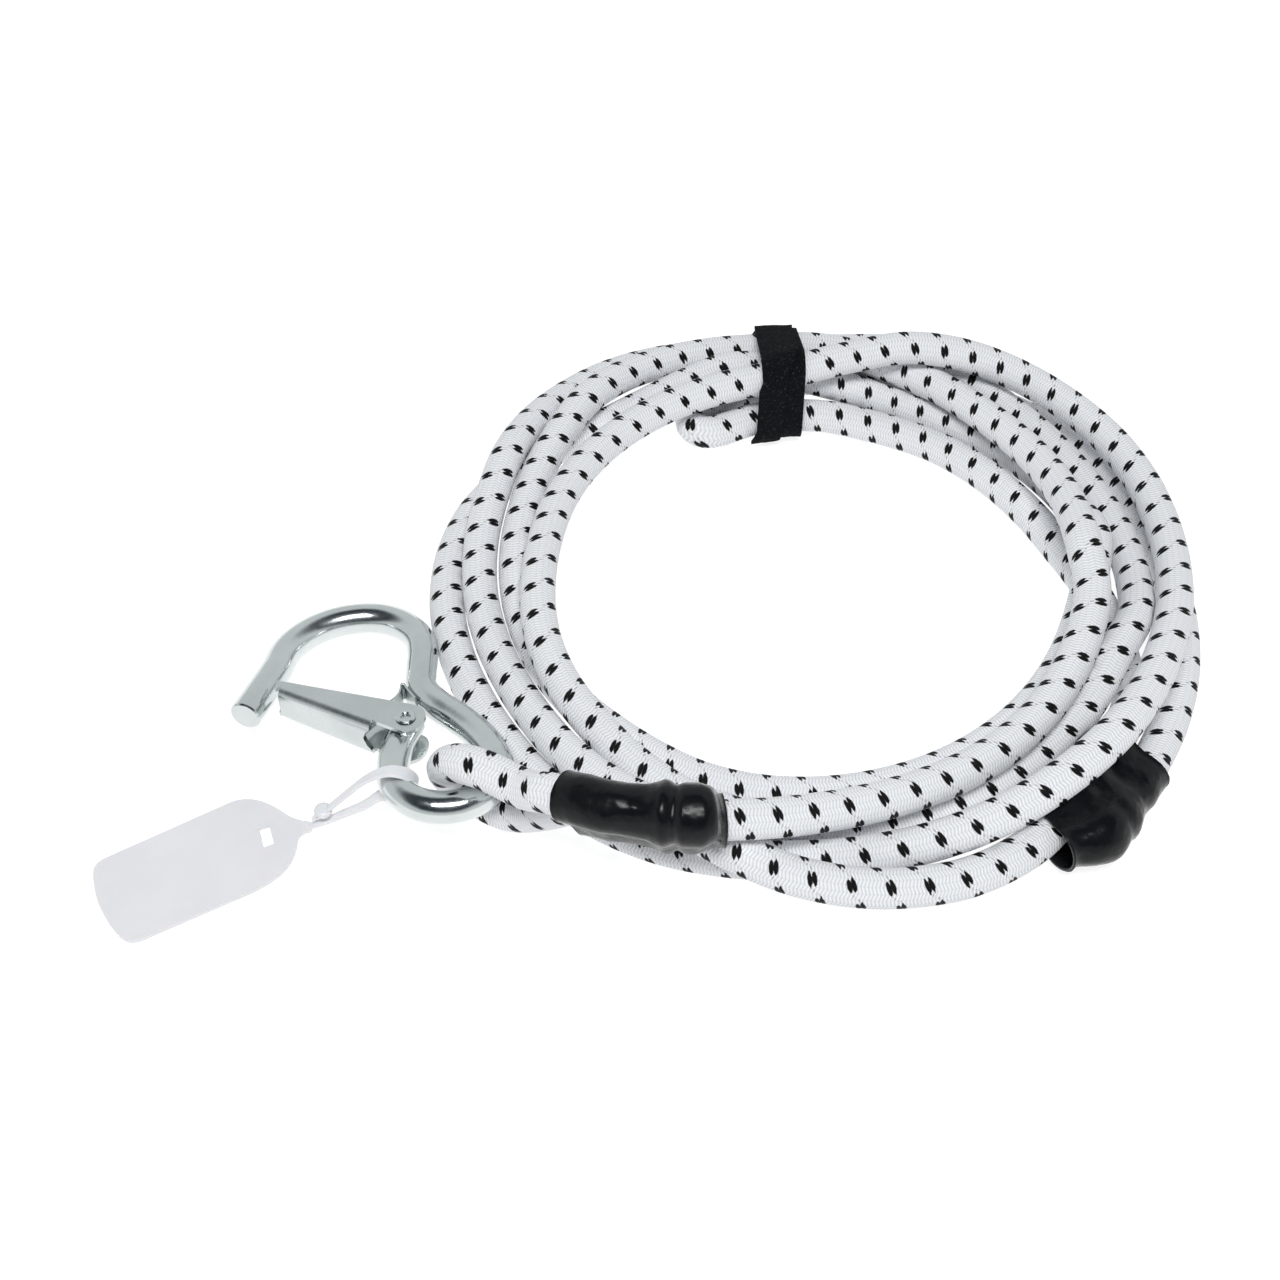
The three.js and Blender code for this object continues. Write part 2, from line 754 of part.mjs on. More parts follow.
function makeHook() {
  const places = [
    [noseEnd.x, noseEnd.y],
    [(noseEnd.x + flareCentre.x - flareRadius) / 2, (noseEnd.y + flareCentre.y) / 2],
    ...arc(flareCentre, flareRadius, 180, 90, arcStep),
    ...arc(bendCentre, bendRadius, 90, 0, arcStep).slice(1),
    ...shankPlaces,
    ...arc(eyeCentre, eyeRadius, eyeFromDegrees, -180, arcStep),
    ...barEndPlaces,
  ];
  const line = smoothLine(places.map(([u, v]) => new THREE.Vector3(u, v, 0)), barStep);
  const hole = new THREE.CylinderGeometry(
    rivetShank / 2 + rivetPlay, rivetShank / 2 + rivetPlay, barDiameter + overrun, roundSides,
  );
  hole.rotateX(Math.PI / 2).translate(rivetPlace.x, rivetPlace.y, 0);
  return cut(tube(line, barRadius, barSides), hole).applyMatrix4(hookMatrix);
}

// Gate: a pressed channel drawn from its rivet towards its tip
const gateMatrix = hookMatrix
  .clone()
  .multiply(
    new THREE.Matrix4()
      .makeRotationZ(THREE.MathUtils.degToRad(gateTurn))
      .setPosition(rivetPlace.x, rivetPlace.y, 0),
  );
const gatePivotHalfHeight = barRadius + gateClearance + gateMetal;
const gateSlope = (gatePivotHalfHeight - gateTipHeight / 2) / gateLength;
const gateHalfHeight = (x) => gatePivotHalfHeight - gateSlope * Math.max(x, 0);
const webAt = (x) => webStart.y + ((webEnd.y - webStart.y) * (x - webStart.x)) / (webEnd.x - webStart.x);

function makeGate() {
  const outline = [
    ...gatePivotPlaces,
    [webStart.x, webStart.y],
    [webEnd.x, webEnd.y],
    ...gateTipPlaces,
  ];
  const far = gateLength + overrun;
  const hollow = [
    [-far, -far],
    [far, -far],
    [far, webAt(far) - gateMetal],
    [webStart.x + gateMetal, webAt(webStart.x + gateMetal) - gateMetal],
    [webStart.x, webStart.y - 2 * gateMetal],
    [webStart.x, far],
    [-far, far],
  ];
  const inside = prism(hollow, (x) => gateHalfHeight(x) - gateMetal);
  const hole = new THREE.CylinderGeometry(
    rivetShank / 2 + rivetPlay, rivetShank / 2 + rivetPlay, 4 * barDiameter, roundSides,
  );
  hole.rotateX(Math.PI / 2);
  return cut(prism(outline, gateHalfHeight), inside, hole).applyMatrix4(gateMatrix);
}

function makeRivet() {
  const face = gatePivotHalfHeight + rivetPlay + rivetHeadHeight;
  const half = [
    [rivetBore / 2, face - rivetBoreDepth],
    [rivetBore / 2, face],
    [rivetHead / 2, face],
    [rivetHead / 2, face - rivetHeadHeight],
    [rivetShank / 2, face - rivetHeadHeight],
  ];
  const profile = [...half.map(([r, z]) => [r, -z]), ...half.reverse()];
  const rings = profile.map(([radius, z]) => {
    const frame = {
      p: new THREE.Vector3(0, 0, z),
      up: new THREE.Vector3(1, 0, 0),
      side: new THREE.Vector3(0, 1, 0),
    };
    return circleRing(frame, radius, roundSides);
  });
  return solidSkin(rings).applyMatrix4(gateMatrix);
}

// A strip: its middle line is widened to both sides in the plane
function stripOutline(places, thickness) {
  const line = places.map(([x, y]) => new THREE.Vector3(x, y, 0));
  const frames = framesAlong(line, UP);
  const left = frames.map((f) => f.p.clone().addScaledVector(f.side, thickness / 2));
  const right = frames.map((f) => f.p.clone().addScaledVector(f.side, -thickness / 2));
  return [...left, ...right.reverse()].map((p) => [p.x, p.y]);
}

function makeSpring() {
  const under = gateMetal + seatGap + springMetal / 2;
  const leg = springLegPlaces.map((x) => [x, webAt(x) - under]);
  const outline = stripOutline([...leg, ...springFreePlaces], springMetal);
  return prism(outline, () => springWidth / 2).applyMatrix4(gateMatrix);
}

// Tag: a flat moulded plate, its neck, and a strap looped round the eye's bar
function strapSection(place, along, thickness) {
  const across = new THREE.Vector3(0, Math.cos(lean), -Math.sin(lean));
  const up = new THREE.Vector3().crossVectors(along, across).normalize();
  const ring = [];
  for (const [a, b] of [[-1, -1], [1, -1], [1, 1], [-1, 1]]) {
    ring.push(
      place
        .clone()
        .addScaledVector(across, (a * strapWidth) / 2)
        .addScaledVector(up, (b * thickness) / 2),
    );
  }
  return ring;
}

function strapSkin(places, thicknessAt) {
  const frames = framesAlong(places, UP);
  return solidSkin(frames.map((f, i) => strapSection(f.p, f.ahead, thicknessAt(i))));
}

function makeTag() {
  const plate = prism(tagPlaces, () => tagThickness / 2).translate(0, 0, tagThickness / 2);
  const slot = prism(tagSlotPlaces, () => overrun).translate(0, 0, tagThickness / 2);
  const eyeBar = hookSpot(eyeCentre.x - eyeRadius, tagGripV);
  const toBump = tagBump.clone().sub(eyeBar);
  const reach = Math.hypot(toBump.x, toBump.z);
  const facing = Math.atan2(-toBump.z, -toBump.x);
  const swing = Math.PI / 2 + Math.asin(strapLoopRadius / reach);
  const loop = [tagBump.clone()];
  for (let step = 0; step <= strapLoopSteps; step++) {
    const turn = facing - swing + (2 * swing * step) / strapLoopSteps;
    loop.push(
      new THREE.Vector3(
        eyeBar.x + strapLoopRadius * Math.cos(turn),
        eyeBar.y,
        eyeBar.z + strapLoopRadius * Math.sin(turn),
      ),
    );
  }
  loop.push(tagBump.clone());
  const neck = [...tagNeckPlaces, tagBump];
  const knot = new THREE.BoxGeometry(strapKnot.x, strapKnot.y, strapKnot.z);
  knot.translate(tagBump.x, tagBump.y, tagBump.z);
  return join(
    cut(plate, slot),
    strapSkin(neck, () => strapThickness),
    strapSkin(loop.slice(0, -1), () => strapThickness),
    strapSkin(loop.slice(-2), () => strapThickness),
    knot,
  );
}

// Materials and nodes
const metal = (name, color) =>
  new THREE.MeshStandardMaterial({ name, color, metalness: 0.9, roughness: 0.3 });
const plain = (name, color, roughness) =>
  new THREE.MeshStandardMaterial({ name, color, metalness: 0, roughness });

const materials = {
  braid: () => plain("braid", 0xe6e8ea, 0.7),
  rubber: () => plain("rubber", 0xb9a888, 0.8),
  shrink: () => plain("shrink", 0x121417, 0.4),
  hookLoop: () => plain("hook_loop", 0x16181c, 0.95),
  zinc: () => metal("zinc", 0xc9d0d8),
  steel: () => metal("steel", 0xaeb2b8),
  label: () => plain("label", 0xdcdfe2, 0.5),
};

const object = new THREE.Group();
object.name = "bungee_dock_line";

function add(name, geometry, material) {
  const mesh = new THREE.Mesh(geometry, material);
  mesh.name = name;
  object.add(mesh);
  return mesh;
}

const cordNodes = [
  ...Object.keys(stretches).map((name) => add(`cord_${name}`, sheath(stretches[name]), materials.braid())),
  ...Object.keys(stretches).map((name) => add(`core_${name}`, core(stretches[name]), materials.rubber())),
];

add("hook_sleeve", pairSleeve(hookSleeveRows.map(hookSleeveSection)), materials.shrink());
add("far_sleeve", pairSleeve(farSleeveRows.map(farSleeveSection)), materials.shrink());
hookRingDistances.forEach((distance, i) => {
  add(`hook_clamp_${i + 1}`, clampRing(hookSleeveSection([distance, 1, 1])), materials.steel());
});
farRingDegrees.forEach((degrees, i) => {
  add(`far_clamp_${i + 1}`, clampRing(farSleeveSection([degrees, 1, 1])), materials.steel());
});
add("tie", makeTie(), materials.hookLoop());
add("hook_body", makeHook(), materials.zinc());
add("gate", makeGate(), materials.zinc());
add("gate_rivet", makeRivet(), materials.zinc());
add("gate_spring", makeSpring(), materials.steel());
add("marker_tag", makeTag(), materials.label());

// The origin lies under the middle of the pieces other than the cord
const box = new THREE.Box3();
for (const mesh of object.children) {
  if (!cordNodes.includes(mesh)) box.expandByObject(mesh);
}
const origin = box.getCenter(new THREE.Vector3()).setZ(0);
object.position.copy(origin).negate();

const shown = (v) => v.toArray().map((n) => Number(n.toFixed(3)));
console.log("origin moved by", shown(object.position), "lowest", box.min.z.toFixed(3));
for (const [name, { points }] of Object.entries(stretches)) {
  let length = 0;
  points.forEach((p, i) => (length += i ? p.distanceTo(points[i - 1]) : 0));
  console.log(name, "length", length.toFixed(0), "least gap to itself", leastGap(points).toFixed(2));
}
const placed = (v) => shown(v.clone().add(object.position));
console.log("hook swing", placed(hookSpot(eyeCentre.x + eyeRadius, eyeCentre.y)));
console.log("gate pivot", placed(hookSpot(rivetPlace.x, rivetPlace.y)));
console.log("tag swing", placed(hookSpot(eyeCentre.x - eyeRadius, tagGripV)));

export default object;
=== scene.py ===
# A bungee dock line: camera, studio, cord, sleeves, tie, hook, gate and marker tag.
# Sizes are in millimetres in the drawing frame; PART_SHIFT moves them to the part's own origin.
import math

import bmesh
import bpy
import numpy as np
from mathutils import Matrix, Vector, noise


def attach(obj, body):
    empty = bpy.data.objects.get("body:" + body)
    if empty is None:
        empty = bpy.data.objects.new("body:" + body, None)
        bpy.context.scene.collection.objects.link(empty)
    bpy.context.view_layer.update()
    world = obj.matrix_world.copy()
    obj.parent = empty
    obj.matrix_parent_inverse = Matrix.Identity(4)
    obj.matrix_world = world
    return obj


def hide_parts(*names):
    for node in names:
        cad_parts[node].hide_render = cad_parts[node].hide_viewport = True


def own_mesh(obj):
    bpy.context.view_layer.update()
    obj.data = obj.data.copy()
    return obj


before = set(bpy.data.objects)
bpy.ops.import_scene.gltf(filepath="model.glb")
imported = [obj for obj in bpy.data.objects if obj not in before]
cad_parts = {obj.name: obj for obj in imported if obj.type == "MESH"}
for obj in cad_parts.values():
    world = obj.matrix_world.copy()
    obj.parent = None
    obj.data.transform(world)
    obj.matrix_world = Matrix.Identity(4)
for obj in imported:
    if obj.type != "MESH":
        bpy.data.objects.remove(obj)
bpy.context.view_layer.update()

MM = 0.001
PART_SHIFT = np.array([1.476, -14.621, 0.0])
UP = np.array([0.0, 0.0, 1.0])

# Camera
CAMERA_PLACE = np.array([0.0, -339.2, 407.1])
CAMERA_AIM = np.array([0.0, 0.0, 0.0])
PHOTO_PIXELS = 1280
FOCAL_PIXELS = 1560
SENSOR_WIDTH = 36

# Cord
CORD_DIAMETER = 12
CORD_RADIUS = CORD_DIAMETER / 2
CORD_RING_SIDES = 28
CORD_RING_STEP = 2.4
REST_FLAT = CORD_DIAMETER * 0.125
SEAT_GAP = 0.3

# Coil
COIL_INNER_RADIUS = 84
COIL_CENTRE = np.array([57.0, 24.0])
STRAND_SPACING_SHARE = 1.05
STATION_DEGREES = 5
TABLE_DEGREES = 30
SETTLE_ROUNDS = 120
SETTLE_PASSES = 4
SETTLE_SOFTNESS_SHARE = 0.3
LANE_SOFTNESS_SHARE = 0.4
SPOTS_PER_STEP = 4
EASE_ROUNDS = 40
EASE_SHARE = 0.5
EASE_GAP = 0.5
EASE_SKIP_STEPS = 5

# Sleeves and the clamp rings that they bulge over
SLEEVE_WALL = 1.0
SLEEVE_GAP = 0.55
RING_WIRE = 1.6
SNUG_RADIUS = CORD_RADIUS + SLEEVE_GAP
RING_SEAT = CORD_RADIUS + 1.5 * SEAT_GAP
BULGE_RADIUS = RING_SEAT + RING_WIRE + SEAT_GAP
LEAST_BULGE_SHARE = -0.1
SLEEVE_CAP_SIDES = 16
SLEEVE_FLANK_SIDES = 5
SLEEVE_WAIST = 1.1
SLEEVE_SPLITS = 4
SLEEVE_WRINKLE = 0.35
WRINKLE_COARSE_SCALE = 0.16
WRINKLE_FINE_SCALE = 0.45
WRINKLE_FINE_SHARE = 0.5

# Tie and its tongue: left and right along the coil, angles from the coil's outer side up and over
TIE_THICKNESS = 1.6
TIE_LEFT = 8.8
TIE_RIGHT = -6.2
TIE_SECTIONS = 12
TIE_SIDES = 84
TIE_ANGLE = 92
TIE_SEAT = CORD_RADIUS + SEAT_GAP
TIE_OUT = np.array([math.cos(math.radians(TIE_ANGLE)), math.sin(math.radians(TIE_ANGLE)), 0])
TIE_AHEAD = np.cross(UP, TIE_OUT)
NAP_WAVE_SHARE = 0.8
NAP_WAVE_HEIGHT = 0.2
TONGUE_THICKNESS = 1.1
TONGUE_ANGLES = [60, 90, 150, 200, 222]
TONGUE_LEFT = [9.6, 9.8, 9.6, 12.6, 13.2]
TONGUE_RIGHT = [-4.6, -3.4, 0.4, 1.8, 2.2]
TONGUE_ROUND_FROM = 208
TONGUE_TIP_SHARE = 0.55
TONGUE_ROWS = 70
TONGUE_COLUMNS = 8

# Stretches and ends
LINE_KEPT_FIRST = 6
LINE_KEPT_LAST = 5
LEG_KEPT_FIRST = 2
HOOK_SLEEVE_POINTS = 6
FAR_LINE_POINTS = 6
FAR_LEG_POINTS = 3
FAR_TAIL_POINTS = 4
BIGHT_STEP = 5
HOOK_MOUTH_DROP = np.array([0.0, 2.4, -3.6])
EYE_TIP_STEPS = 5
EYE_TIP_REACH_SHARE = 0.5
EYE_TAIL_REACH = 6
TAIL_LEAN = np.array([0.0, -0.42, 0.91])
PAIR_SPACING = 13
HOOK_TAIL_DISTANCES = [6, 12, 18, 26, 34, 41.7]
BIGHT_PLACES = [
    (-29.6, -79.4, 15.2), (-37, -75.8, 8.8), (-44.5, -72, 6.4), (-52.5, -67.5, 9.2),
    (-58.5, -66.5, 17), (-56.6, -69.2, 25), (-50.5, -73.3, 30.5), (-42, -78, 32), (-33.5, -83, 32.2),
]

# Lanes outwards from the coil's inner radius and layers up from the floor, in cords
LINE_TABLE_START = -150
LINE_START_DEGREES = -125
LINE_END_DEGREES = 1395
LINE_LANE_SHARES = [
    5.3, 4, 1.95, 1.25, 1.4, 0.65, 0.95, 1.2, 1.6, 2.1, 1.6, 1.65,
    1.2, 0.95, 0.5, 0.4, 0.6, 1.05, 1.35, 1.1, 0.5, 1.2, 2.5, 3,
    3.1, 3.1, 2.55, 3.1, 2.9, 3.15, 3.6, 1.75, -0.2, 0.15, 0.4, 0.75,
    1.25, 1.8, 1.65, 1.5, 1.9, 2.25, 2.5, 2.6, 2.1, 3.2, 2.6, 2.2,
    1.85, 2.35, 3.8, 3.9, 1.6,
]
LINE_LAYER_SHARES = [
    1.4, 2.7, 2, 1.4, 1.6, 2.3, 1.6, 1.5, 1.75, 1.4, 1.4, 1,
    0.5, 0.5, 0.5, 0.5, 0.8, 1.4, 0.7, 0.6, 1.7, 1.4, 0.5, 0.5,
    0.5, 0.5, 0.5, 2.2, 2.5, 1.4, 1.5, 2.4, 2.3, 1.75, 1.4, 1.5,
    1.4, 0.9, 0.6, 0.5, 1.3, 0.9, 0.5, 1.45, 0.7, 0.9, 1.5, 0.7,
    0.6, 1.7, 1.4, 0.7, 1.6,
]
EYE_TABLE_START = -60
EYE_TABLE_DEGREES = 15
EYE_END_DEGREES = 110
INNER_LEG_START = -40
OUTER_LEG_START = -50
OUTER_LANE_SHARES = [3.4, 3.5, 3.7, 3.7, 3.4, 3.4, 3.4, 3, 2.4, 1.6, 0.8, 0.75, 0.75]
OUTER_LAYER_SHARES = [0.6, 0.7, 0.62, 0.6, 0.5, 0.5, 0.5, 0.5, 0.5, 0.5, 0.5, 0.5, 0.5]
INNER_LANE_SHARES = [3.1, 2.8, 2.4, 1.75, 1, 0.5, 0.23, 0.1, 0.03, -0.1, -0.35, -0.5, -0.6]
INNER_LAYER_SHARES = [1.3, 1.2, 0.9, 0.5, 0.5, 0.5, 0.5, 0.5, 0.5, 0.5, 0.5, 0.5, 0.5]
SLEEVED_SHARE = (CORD_RADIUS + SLEEVE_GAP + SLEEVE_WALL) / CORD_RADIUS
RINGED_SHARE = SLEEVED_SHARE + (RING_WIRE + 2 * SEAT_GAP) / CORD_RADIUS
LINE_ROOMS = {
    -125: SLEEVED_SHARE, -120: SLEEVED_SHARE, -115: RINGED_SHARE, -110: RINGED_SHARE,
    -105: SLEEVED_SHARE, 1380: SLEEVED_SHARE, 1385: SLEEVED_SHARE, 1390: RINGED_SHARE,
    1395: SLEEVED_SHARE,
}
LEG_ROOMS = {-50: RINGED_SHARE, -45: SLEEVED_SHARE, -40: SLEEVED_SHARE}

# Sleeve sections: how far along, how full the bulge, how much of the tail's offset
HOOK_SLEEVE_ROWS = [
    (6, 0.08, 1), (7.6, 0, 1), (14.4, 0.06, 1), (20, 0, 1), (25.5, 0.08, 1), (28.4, 0.55, 1),
    (30.6, 1.05, 1), (32.4, 0.9, 1), (34.2, 0.42, 1), (36, 0.85, 1), (37.8, 1, 1), (39.6, 0.75, 1),
    (41.8, 0.25, 0.95), (43.4, 0.05, 0.6), (44.8, 0, 0.25), (46, 0.06, 0.08), (46.8, 0.18, 0.03),
]
FAR_SLEEVE_ROWS = [
    (-59.5, 0.34, 0.42), (-58.3, 0.14, 0.5), (-56, 0.2, 0.85), (-54, 0.75, 1), (-52.2, 1.05, 1),
    (-50.6, 0.8, 1), (-49, 0.95, 1), (-47.4, 0.35, 1), (-46, -0.1, 1), (-43.4, 0.1, 1), (-40.8, 0, 1),
    (-40, 0.15, 1),
]

# Hook: its own plane has u to the right and v away, and leans with its near side up
BAR_DIAMETER = 10
BAR_RADIUS = BAR_DIAMETER / 2
BAR_SIDES = 32
BAR_STEP = 2
BAR_CHAMFER = 0.5
HOOK_LEAN = math.radians(10)
HOOK_PLACE = np.array([-1.6, 5.4, 5.3])
BEND_CENTRE = np.array([-90.0, -20.0])
BEND_RADIUS = 20
FLARE_CENTRE = np.array([-90.0, -27.0])
FLARE_RADIUS = 27
NOSE_END = np.array([-123.0, -49.0])
EYE_CENTRE = np.array([-57.0, -72.0])
EYE_RADIUS = 16.5
EYE_FROM_DEGREES = -10
ARC_STEP = 22.5
SHANK_PLACES = [(-69.6, -28), (-68.5, -36), (-63.4, -42.9), (-56.8, -48.7), (-50, -55.6), (-44.3, -64)]
BAR_END_PLACES = [(-73.1, -62), (-71.9, -56.9), (-70.6, -51.5)]

# Gate, rivet and spring: x from the rivet towards the tip, y towards the web
RIVET_PLACE = np.array([-70.7, -56.9])
GATE_TURN = math.radians(160.6)
GATE_METAL = 1.4
GATE_TIP_HEIGHT = 11.6
GATE_CLEARANCE = 0.5
GATE_LENGTH = 47
WEB_START = np.array([9.5, 6.8])
WEB_END = np.array([44.0, 1.9])
GATE_PIVOT_PLACES = [(1.2, -6.2), (-2.8, -5.7), (-5.1, -3.4), (-5.8, 0), (-5.1, 4.2), (-3, 6.8)]
GATE_TIP_PLACES = [(45.6, 1.4), (47, -3.1)]
GATE_FOLD_RADIUS = 1.9
GATE_NOTCH_DEPTH = 2.6
GATE_NOTCH_POWER = 6
GATE_EDGE = 0.3
GATE_EDGE_STEPS = 2
WEB_STATIONS = 16
WEB_ROWS = 6
FOLD_ROWS = 4
GATE_END_STEP = 0.9
GATE_PIVOT_HALF_HEIGHT = BAR_RADIUS + GATE_CLEARANCE + GATE_METAL
GATE_SLOPE = (GATE_PIVOT_HALF_HEIGHT - GATE_TIP_HEIGHT / 2) / GATE_LENGTH
RIVET_SHANK = 4
RIVET_HEAD = 6.2
RIVET_BORE = 2.8
RIVET_BORE_DEPTH = 3
RIVET_BORE_CENTRE = 0.01
RIVET_HEAD_HEIGHT = 0.6
RIVET_CHAMFER = 0.3
RIVET_PLAY = 0.25
RIVET_SIDES = 40
EDGE_ANGLE = math.radians(50)
STRIP_STEP = 0.8
STRIP_ROUND_SHARE = 0.35
SPRING_METAL = 0.7
SPRING_WIDTH = 7
SPRING_LEG_PLACES = [30, 25, 20]
SPRING_FREE_PLACES = [
    (16.4, 3.6), (14.8, 2), (14, -0.4), (13.2, -3.2), (11.4, -6.6), (9.8, -9.4), (9.2, -12.5), (9.7, -15.6),
    (10.4, -17.2), (9.9, -17.7), (8.6, -16.6), (5.6, -14.4), (3.2, -12.7),
]

# Marker tag and its strap
TAG_THICKNESS = 1.4
TAG_PLACES = [
    (-165.9, -89.3), (-161.7, -101.8), (-155.8, -110.4), (-149.1, -116.6), (-112.8, -97.0), (-106.9, -91.4),
    (-104.8, -85.0), (-104.8, -79.6), (-103.2, -77.7), (-101.0, -77.1), (-101.0, -74.0), (-104.6, -73.7),
    (-108.4, -72.2), (-113.6, -68.4), (-119.6, -65.7), (-125.6, -65.7),
]
TAG_SLOT_PLACES = [(-117.2, -76.5), (-114.3, -75.4), (-111.8, -82), (-114.7, -83.4)]
TAG_EDGE = 0.4
TAG_EDGE_STEPS = 3
CORNER_REACH = 4.5
CORNER_REACH_SHARE = 0.5
CORNER_STEPS = 6
OUTLINE_LEAST_STEP = 0.05
STRAP_CENTRE = np.array([-74.1, -72.0, 18.7])
STRAP_LOOP_RADIUS = 6.7
STRAP_LOOP_FROM = -125
STRAP_LOOP_DEGREES = 250
STRAP_LOOP_STEPS = 8
STRAP_NECK_SHARE = 0.4
STRAP_FREE_SHARE = 0.62
STRAP_NECK_PLACES = [(-102.2, -75.6, 0.9), (-97.5, -74.7, 2.2), (-92, -73.8, 4.6), (-84, -72.8, 8.8)]
STRAP_FREE_PLACES = [(-82.6, -72.4, 21.2), (-90, -73, 13.4), (-96.4, -73.6, 6.6), (-100.4, -74.2, 3.2)]
STRAP_WIDTHS = [2.8, 3.2, 3.8, 5.0, 6.4]
STRAP_FREE_WIDTHS = [4.6, 3.4, 3.2, 2.6]
STRAP_THICKNESS = 1.2
STRAP_BUTTON_PLACE = np.array([-97.0, -73.7, 6.9])
STRAP_BUTTON_RADII = [2.1, 2.7, 2.7, 2.1, 1.2]
STRAP_BUTTON_HEIGHTS = [-1.2, -0.6, 0.5, 1.0, 1.15]
STRAP_BUTTON_SIDES = 28

# Braid: chevron ribs with painted shade in their grooves and folds, and tracer marks of two slanted bars in
# rows round the cord
RIB_PITCH = 1.06
RIB_POWER = 0.55
RIB_DEPTH = 0.35
BRAID_COLUMNS = 18
CHEVRON_SHARE = 0.6
FOLD_SHADE_SHARE = 0.6
FOLD_FROM_SHARE = 0.22
FOLD_TO_SHARE = 0.34
YARN_SCALE = 2600.0
YARN_DEPTH = 0.2
MARK_PITCH = 11.1
MARK_ROWS = 5
MARK_ROW_OFFSET_SHARE = 0.32
MARK_SLANT = 0.3
MARK_HALF_LENGTH = 2.45
MARK_TAPER_POWER = 2.2
MARK_BAR_HALF_WIDTH = 0.8
MARK_BAR_SPACING = 1.34
MARK_STAGGER = 0.3
MARK_EDGE = 0.12
WOBBLE_SCALE = 900.0
WOBBLE_WIDTH = 1.6
TRACE_GAP = 0.3
TRACE_HALF_WIDTH = 0.55
TRACE_CORE = 0.25
TRACE_STRENGTH = 0.7

# Colours
BRAID_WHITE = (0.9, 0.91, 0.93, 1)
# Painted shade: the grey that the braid's grooves and column folds are painted
BRAID_GROOVE_PAINTED_SHADE = (0.58, 0.595, 0.62, 1)
BRAID_BLACK = (0.003, 0.003, 0.0035, 1)
BRAID_TRACE = (0.28, 0.28, 0.29, 1)
SHRINK_BLACK = (0.003, 0.0033, 0.004, 1)
SHRINK_WORN = (0.008, 0.0085, 0.01, 1)
NAP_BLACK = (0.006, 0.0068, 0.0085, 1)
NAP_LIT = (0.09, 0.096, 0.105, 1)
ZINC_PALE = (0.71, 0.745, 0.74)
ZINC_DULL = (0.59, 0.63, 0.625)
LABEL_GREY = (0.72, 0.735, 0.76, 1)
LABEL_WHITE = (0.8, 0.81, 0.83, 1)
FLOOR_GREY = (0.3, 0.3, 0.3, 1)
WHITE = (1, 1, 1, 1)
SKY_PALE = (0.7, 0.72, 0.73, 1)
SKY_DARK = (0.03, 0.038, 0.05, 1)

# Studio, in metres
FLOOR_HALF_SIZE = 6
FLOOR_DROP = 0.0002
FLOOR_GLOW = 0.86
LIGHT_PLACE = (0.0, -0.5, 1.25)
LIGHT_AIM = (0, 0, 0)
LIGHT_SIZE = (0.75, 0.3)
LIGHT_WATTS = 14
SKY_DARK_CENTRE = (0.0, -0.3, 0.95)
SKY_PALE_UP_TO = 0.5
SKY_DARK_FROM = 0.68


# Shapes

def to_part(points):
    return (np.asarray(points, float) + PART_SHIFT) * MM


def make_object(name, places, faces, body, material, smooth_angle=40):
    mesh = bpy.data.meshes.new(name)
    mesh.from_pydata([tuple(p) for p in to_part(places)], [], [tuple(f) for f in faces])
    mesh.update()
    mesh.shade_smooth()
    mesh.set_sharp_from_angle(angle=math.radians(smooth_angle))
    piece = bpy.data.objects.new(name, mesh)
    bpy.context.scene.collection.objects.link(piece)
    piece.data.materials.append(material)
    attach(piece, body)
    return piece


def ring_faces(ring_count, sides, closed=False):
    faces = []
    spans = ring_count if closed else ring_count - 1
    for i in range(spans):
        here = i * sides
        ahead = ((i + 1) % ring_count) * sides
        for k in range(sides):
            side = (k + 1) % sides
            faces.append((here + k, here + side, ahead + side, ahead + k))
    return faces


def capped(faces, ring_count, sides):
    last = (ring_count - 1) * sides
    return faces + [tuple(range(sides))[::-1], tuple(last + k for k in range(sides))]


def smooth_line(points, step, spots=24):
    """A centripetal curve through the points, with even steps."""
    points = np.asarray(points, float)
    points = np.vstack([2 * points[0] - points[1], points, 2 * points[-1] - points[-2]])
    fine = []
    for p0, p1, p2, p3 in zip(points, points[1:], points[2:], points[3:]):
        spans = [math.sqrt(np.linalg.norm(b - a)) for a, b in ((p0, p1), (p1, p2), (p2, p3))]
        t0, t1, t2, t3 = np.cumsum([0] + spans)
        t = np.linspace(t1, t2, spots, endpoint=False)[:, None]
        a1 = (t1 - t) / (t1 - t0) * p0 + (t - t0) / (t1 - t0) * p1
        a2 = (t2 - t) / (t2 - t1) * p1 + (t - t1) / (t2 - t1) * p2
        a3 = (t3 - t) / (t3 - t2) * p2 + (t - t2) / (t3 - t2) * p3
        b1 = (t2 - t) / (t2 - t0) * a1 + (t - t0) / (t2 - t0) * a2
        b2 = (t3 - t) / (t3 - t1) * a2 + (t - t1) / (t3 - t1) * a3
        fine.append((t2 - t) / (t2 - t1) * b1 + (t - t1) / (t2 - t1) * b2)
    fine = np.vstack(fine + [points[-2:-1]])
    return even_steps(fine, step)


def lengths_along(points):
    return np.concatenate([[0], np.cumsum(np.linalg.norm(np.diff(points, axis=0), axis=1))])


def even_steps(points, step):
    along = lengths_along(points)
    count = max(4, round(along[-1] / step))
    wanted = np.linspace(0, along[-1], count + 1)
    return np.stack([np.interp(wanted, along, points[:, axis]) for axis in range(points.shape[1])], axis=1)


def unit(v):
    return v / np.linalg.norm(v)


def frames_along(points):
    """Frames that turn as little as they can along a line of points."""
    frames = []
    up = UP
    last = len(points) - 1
    for i, place in enumerate(points):
        ahead = unit(points[min(i + 1, last)] - points[max(i - 1, 0)])
        up = unit(up - up.dot(ahead) * ahead)
        frames.append((place, ahead, up, np.cross(ahead, up)))
    return frames


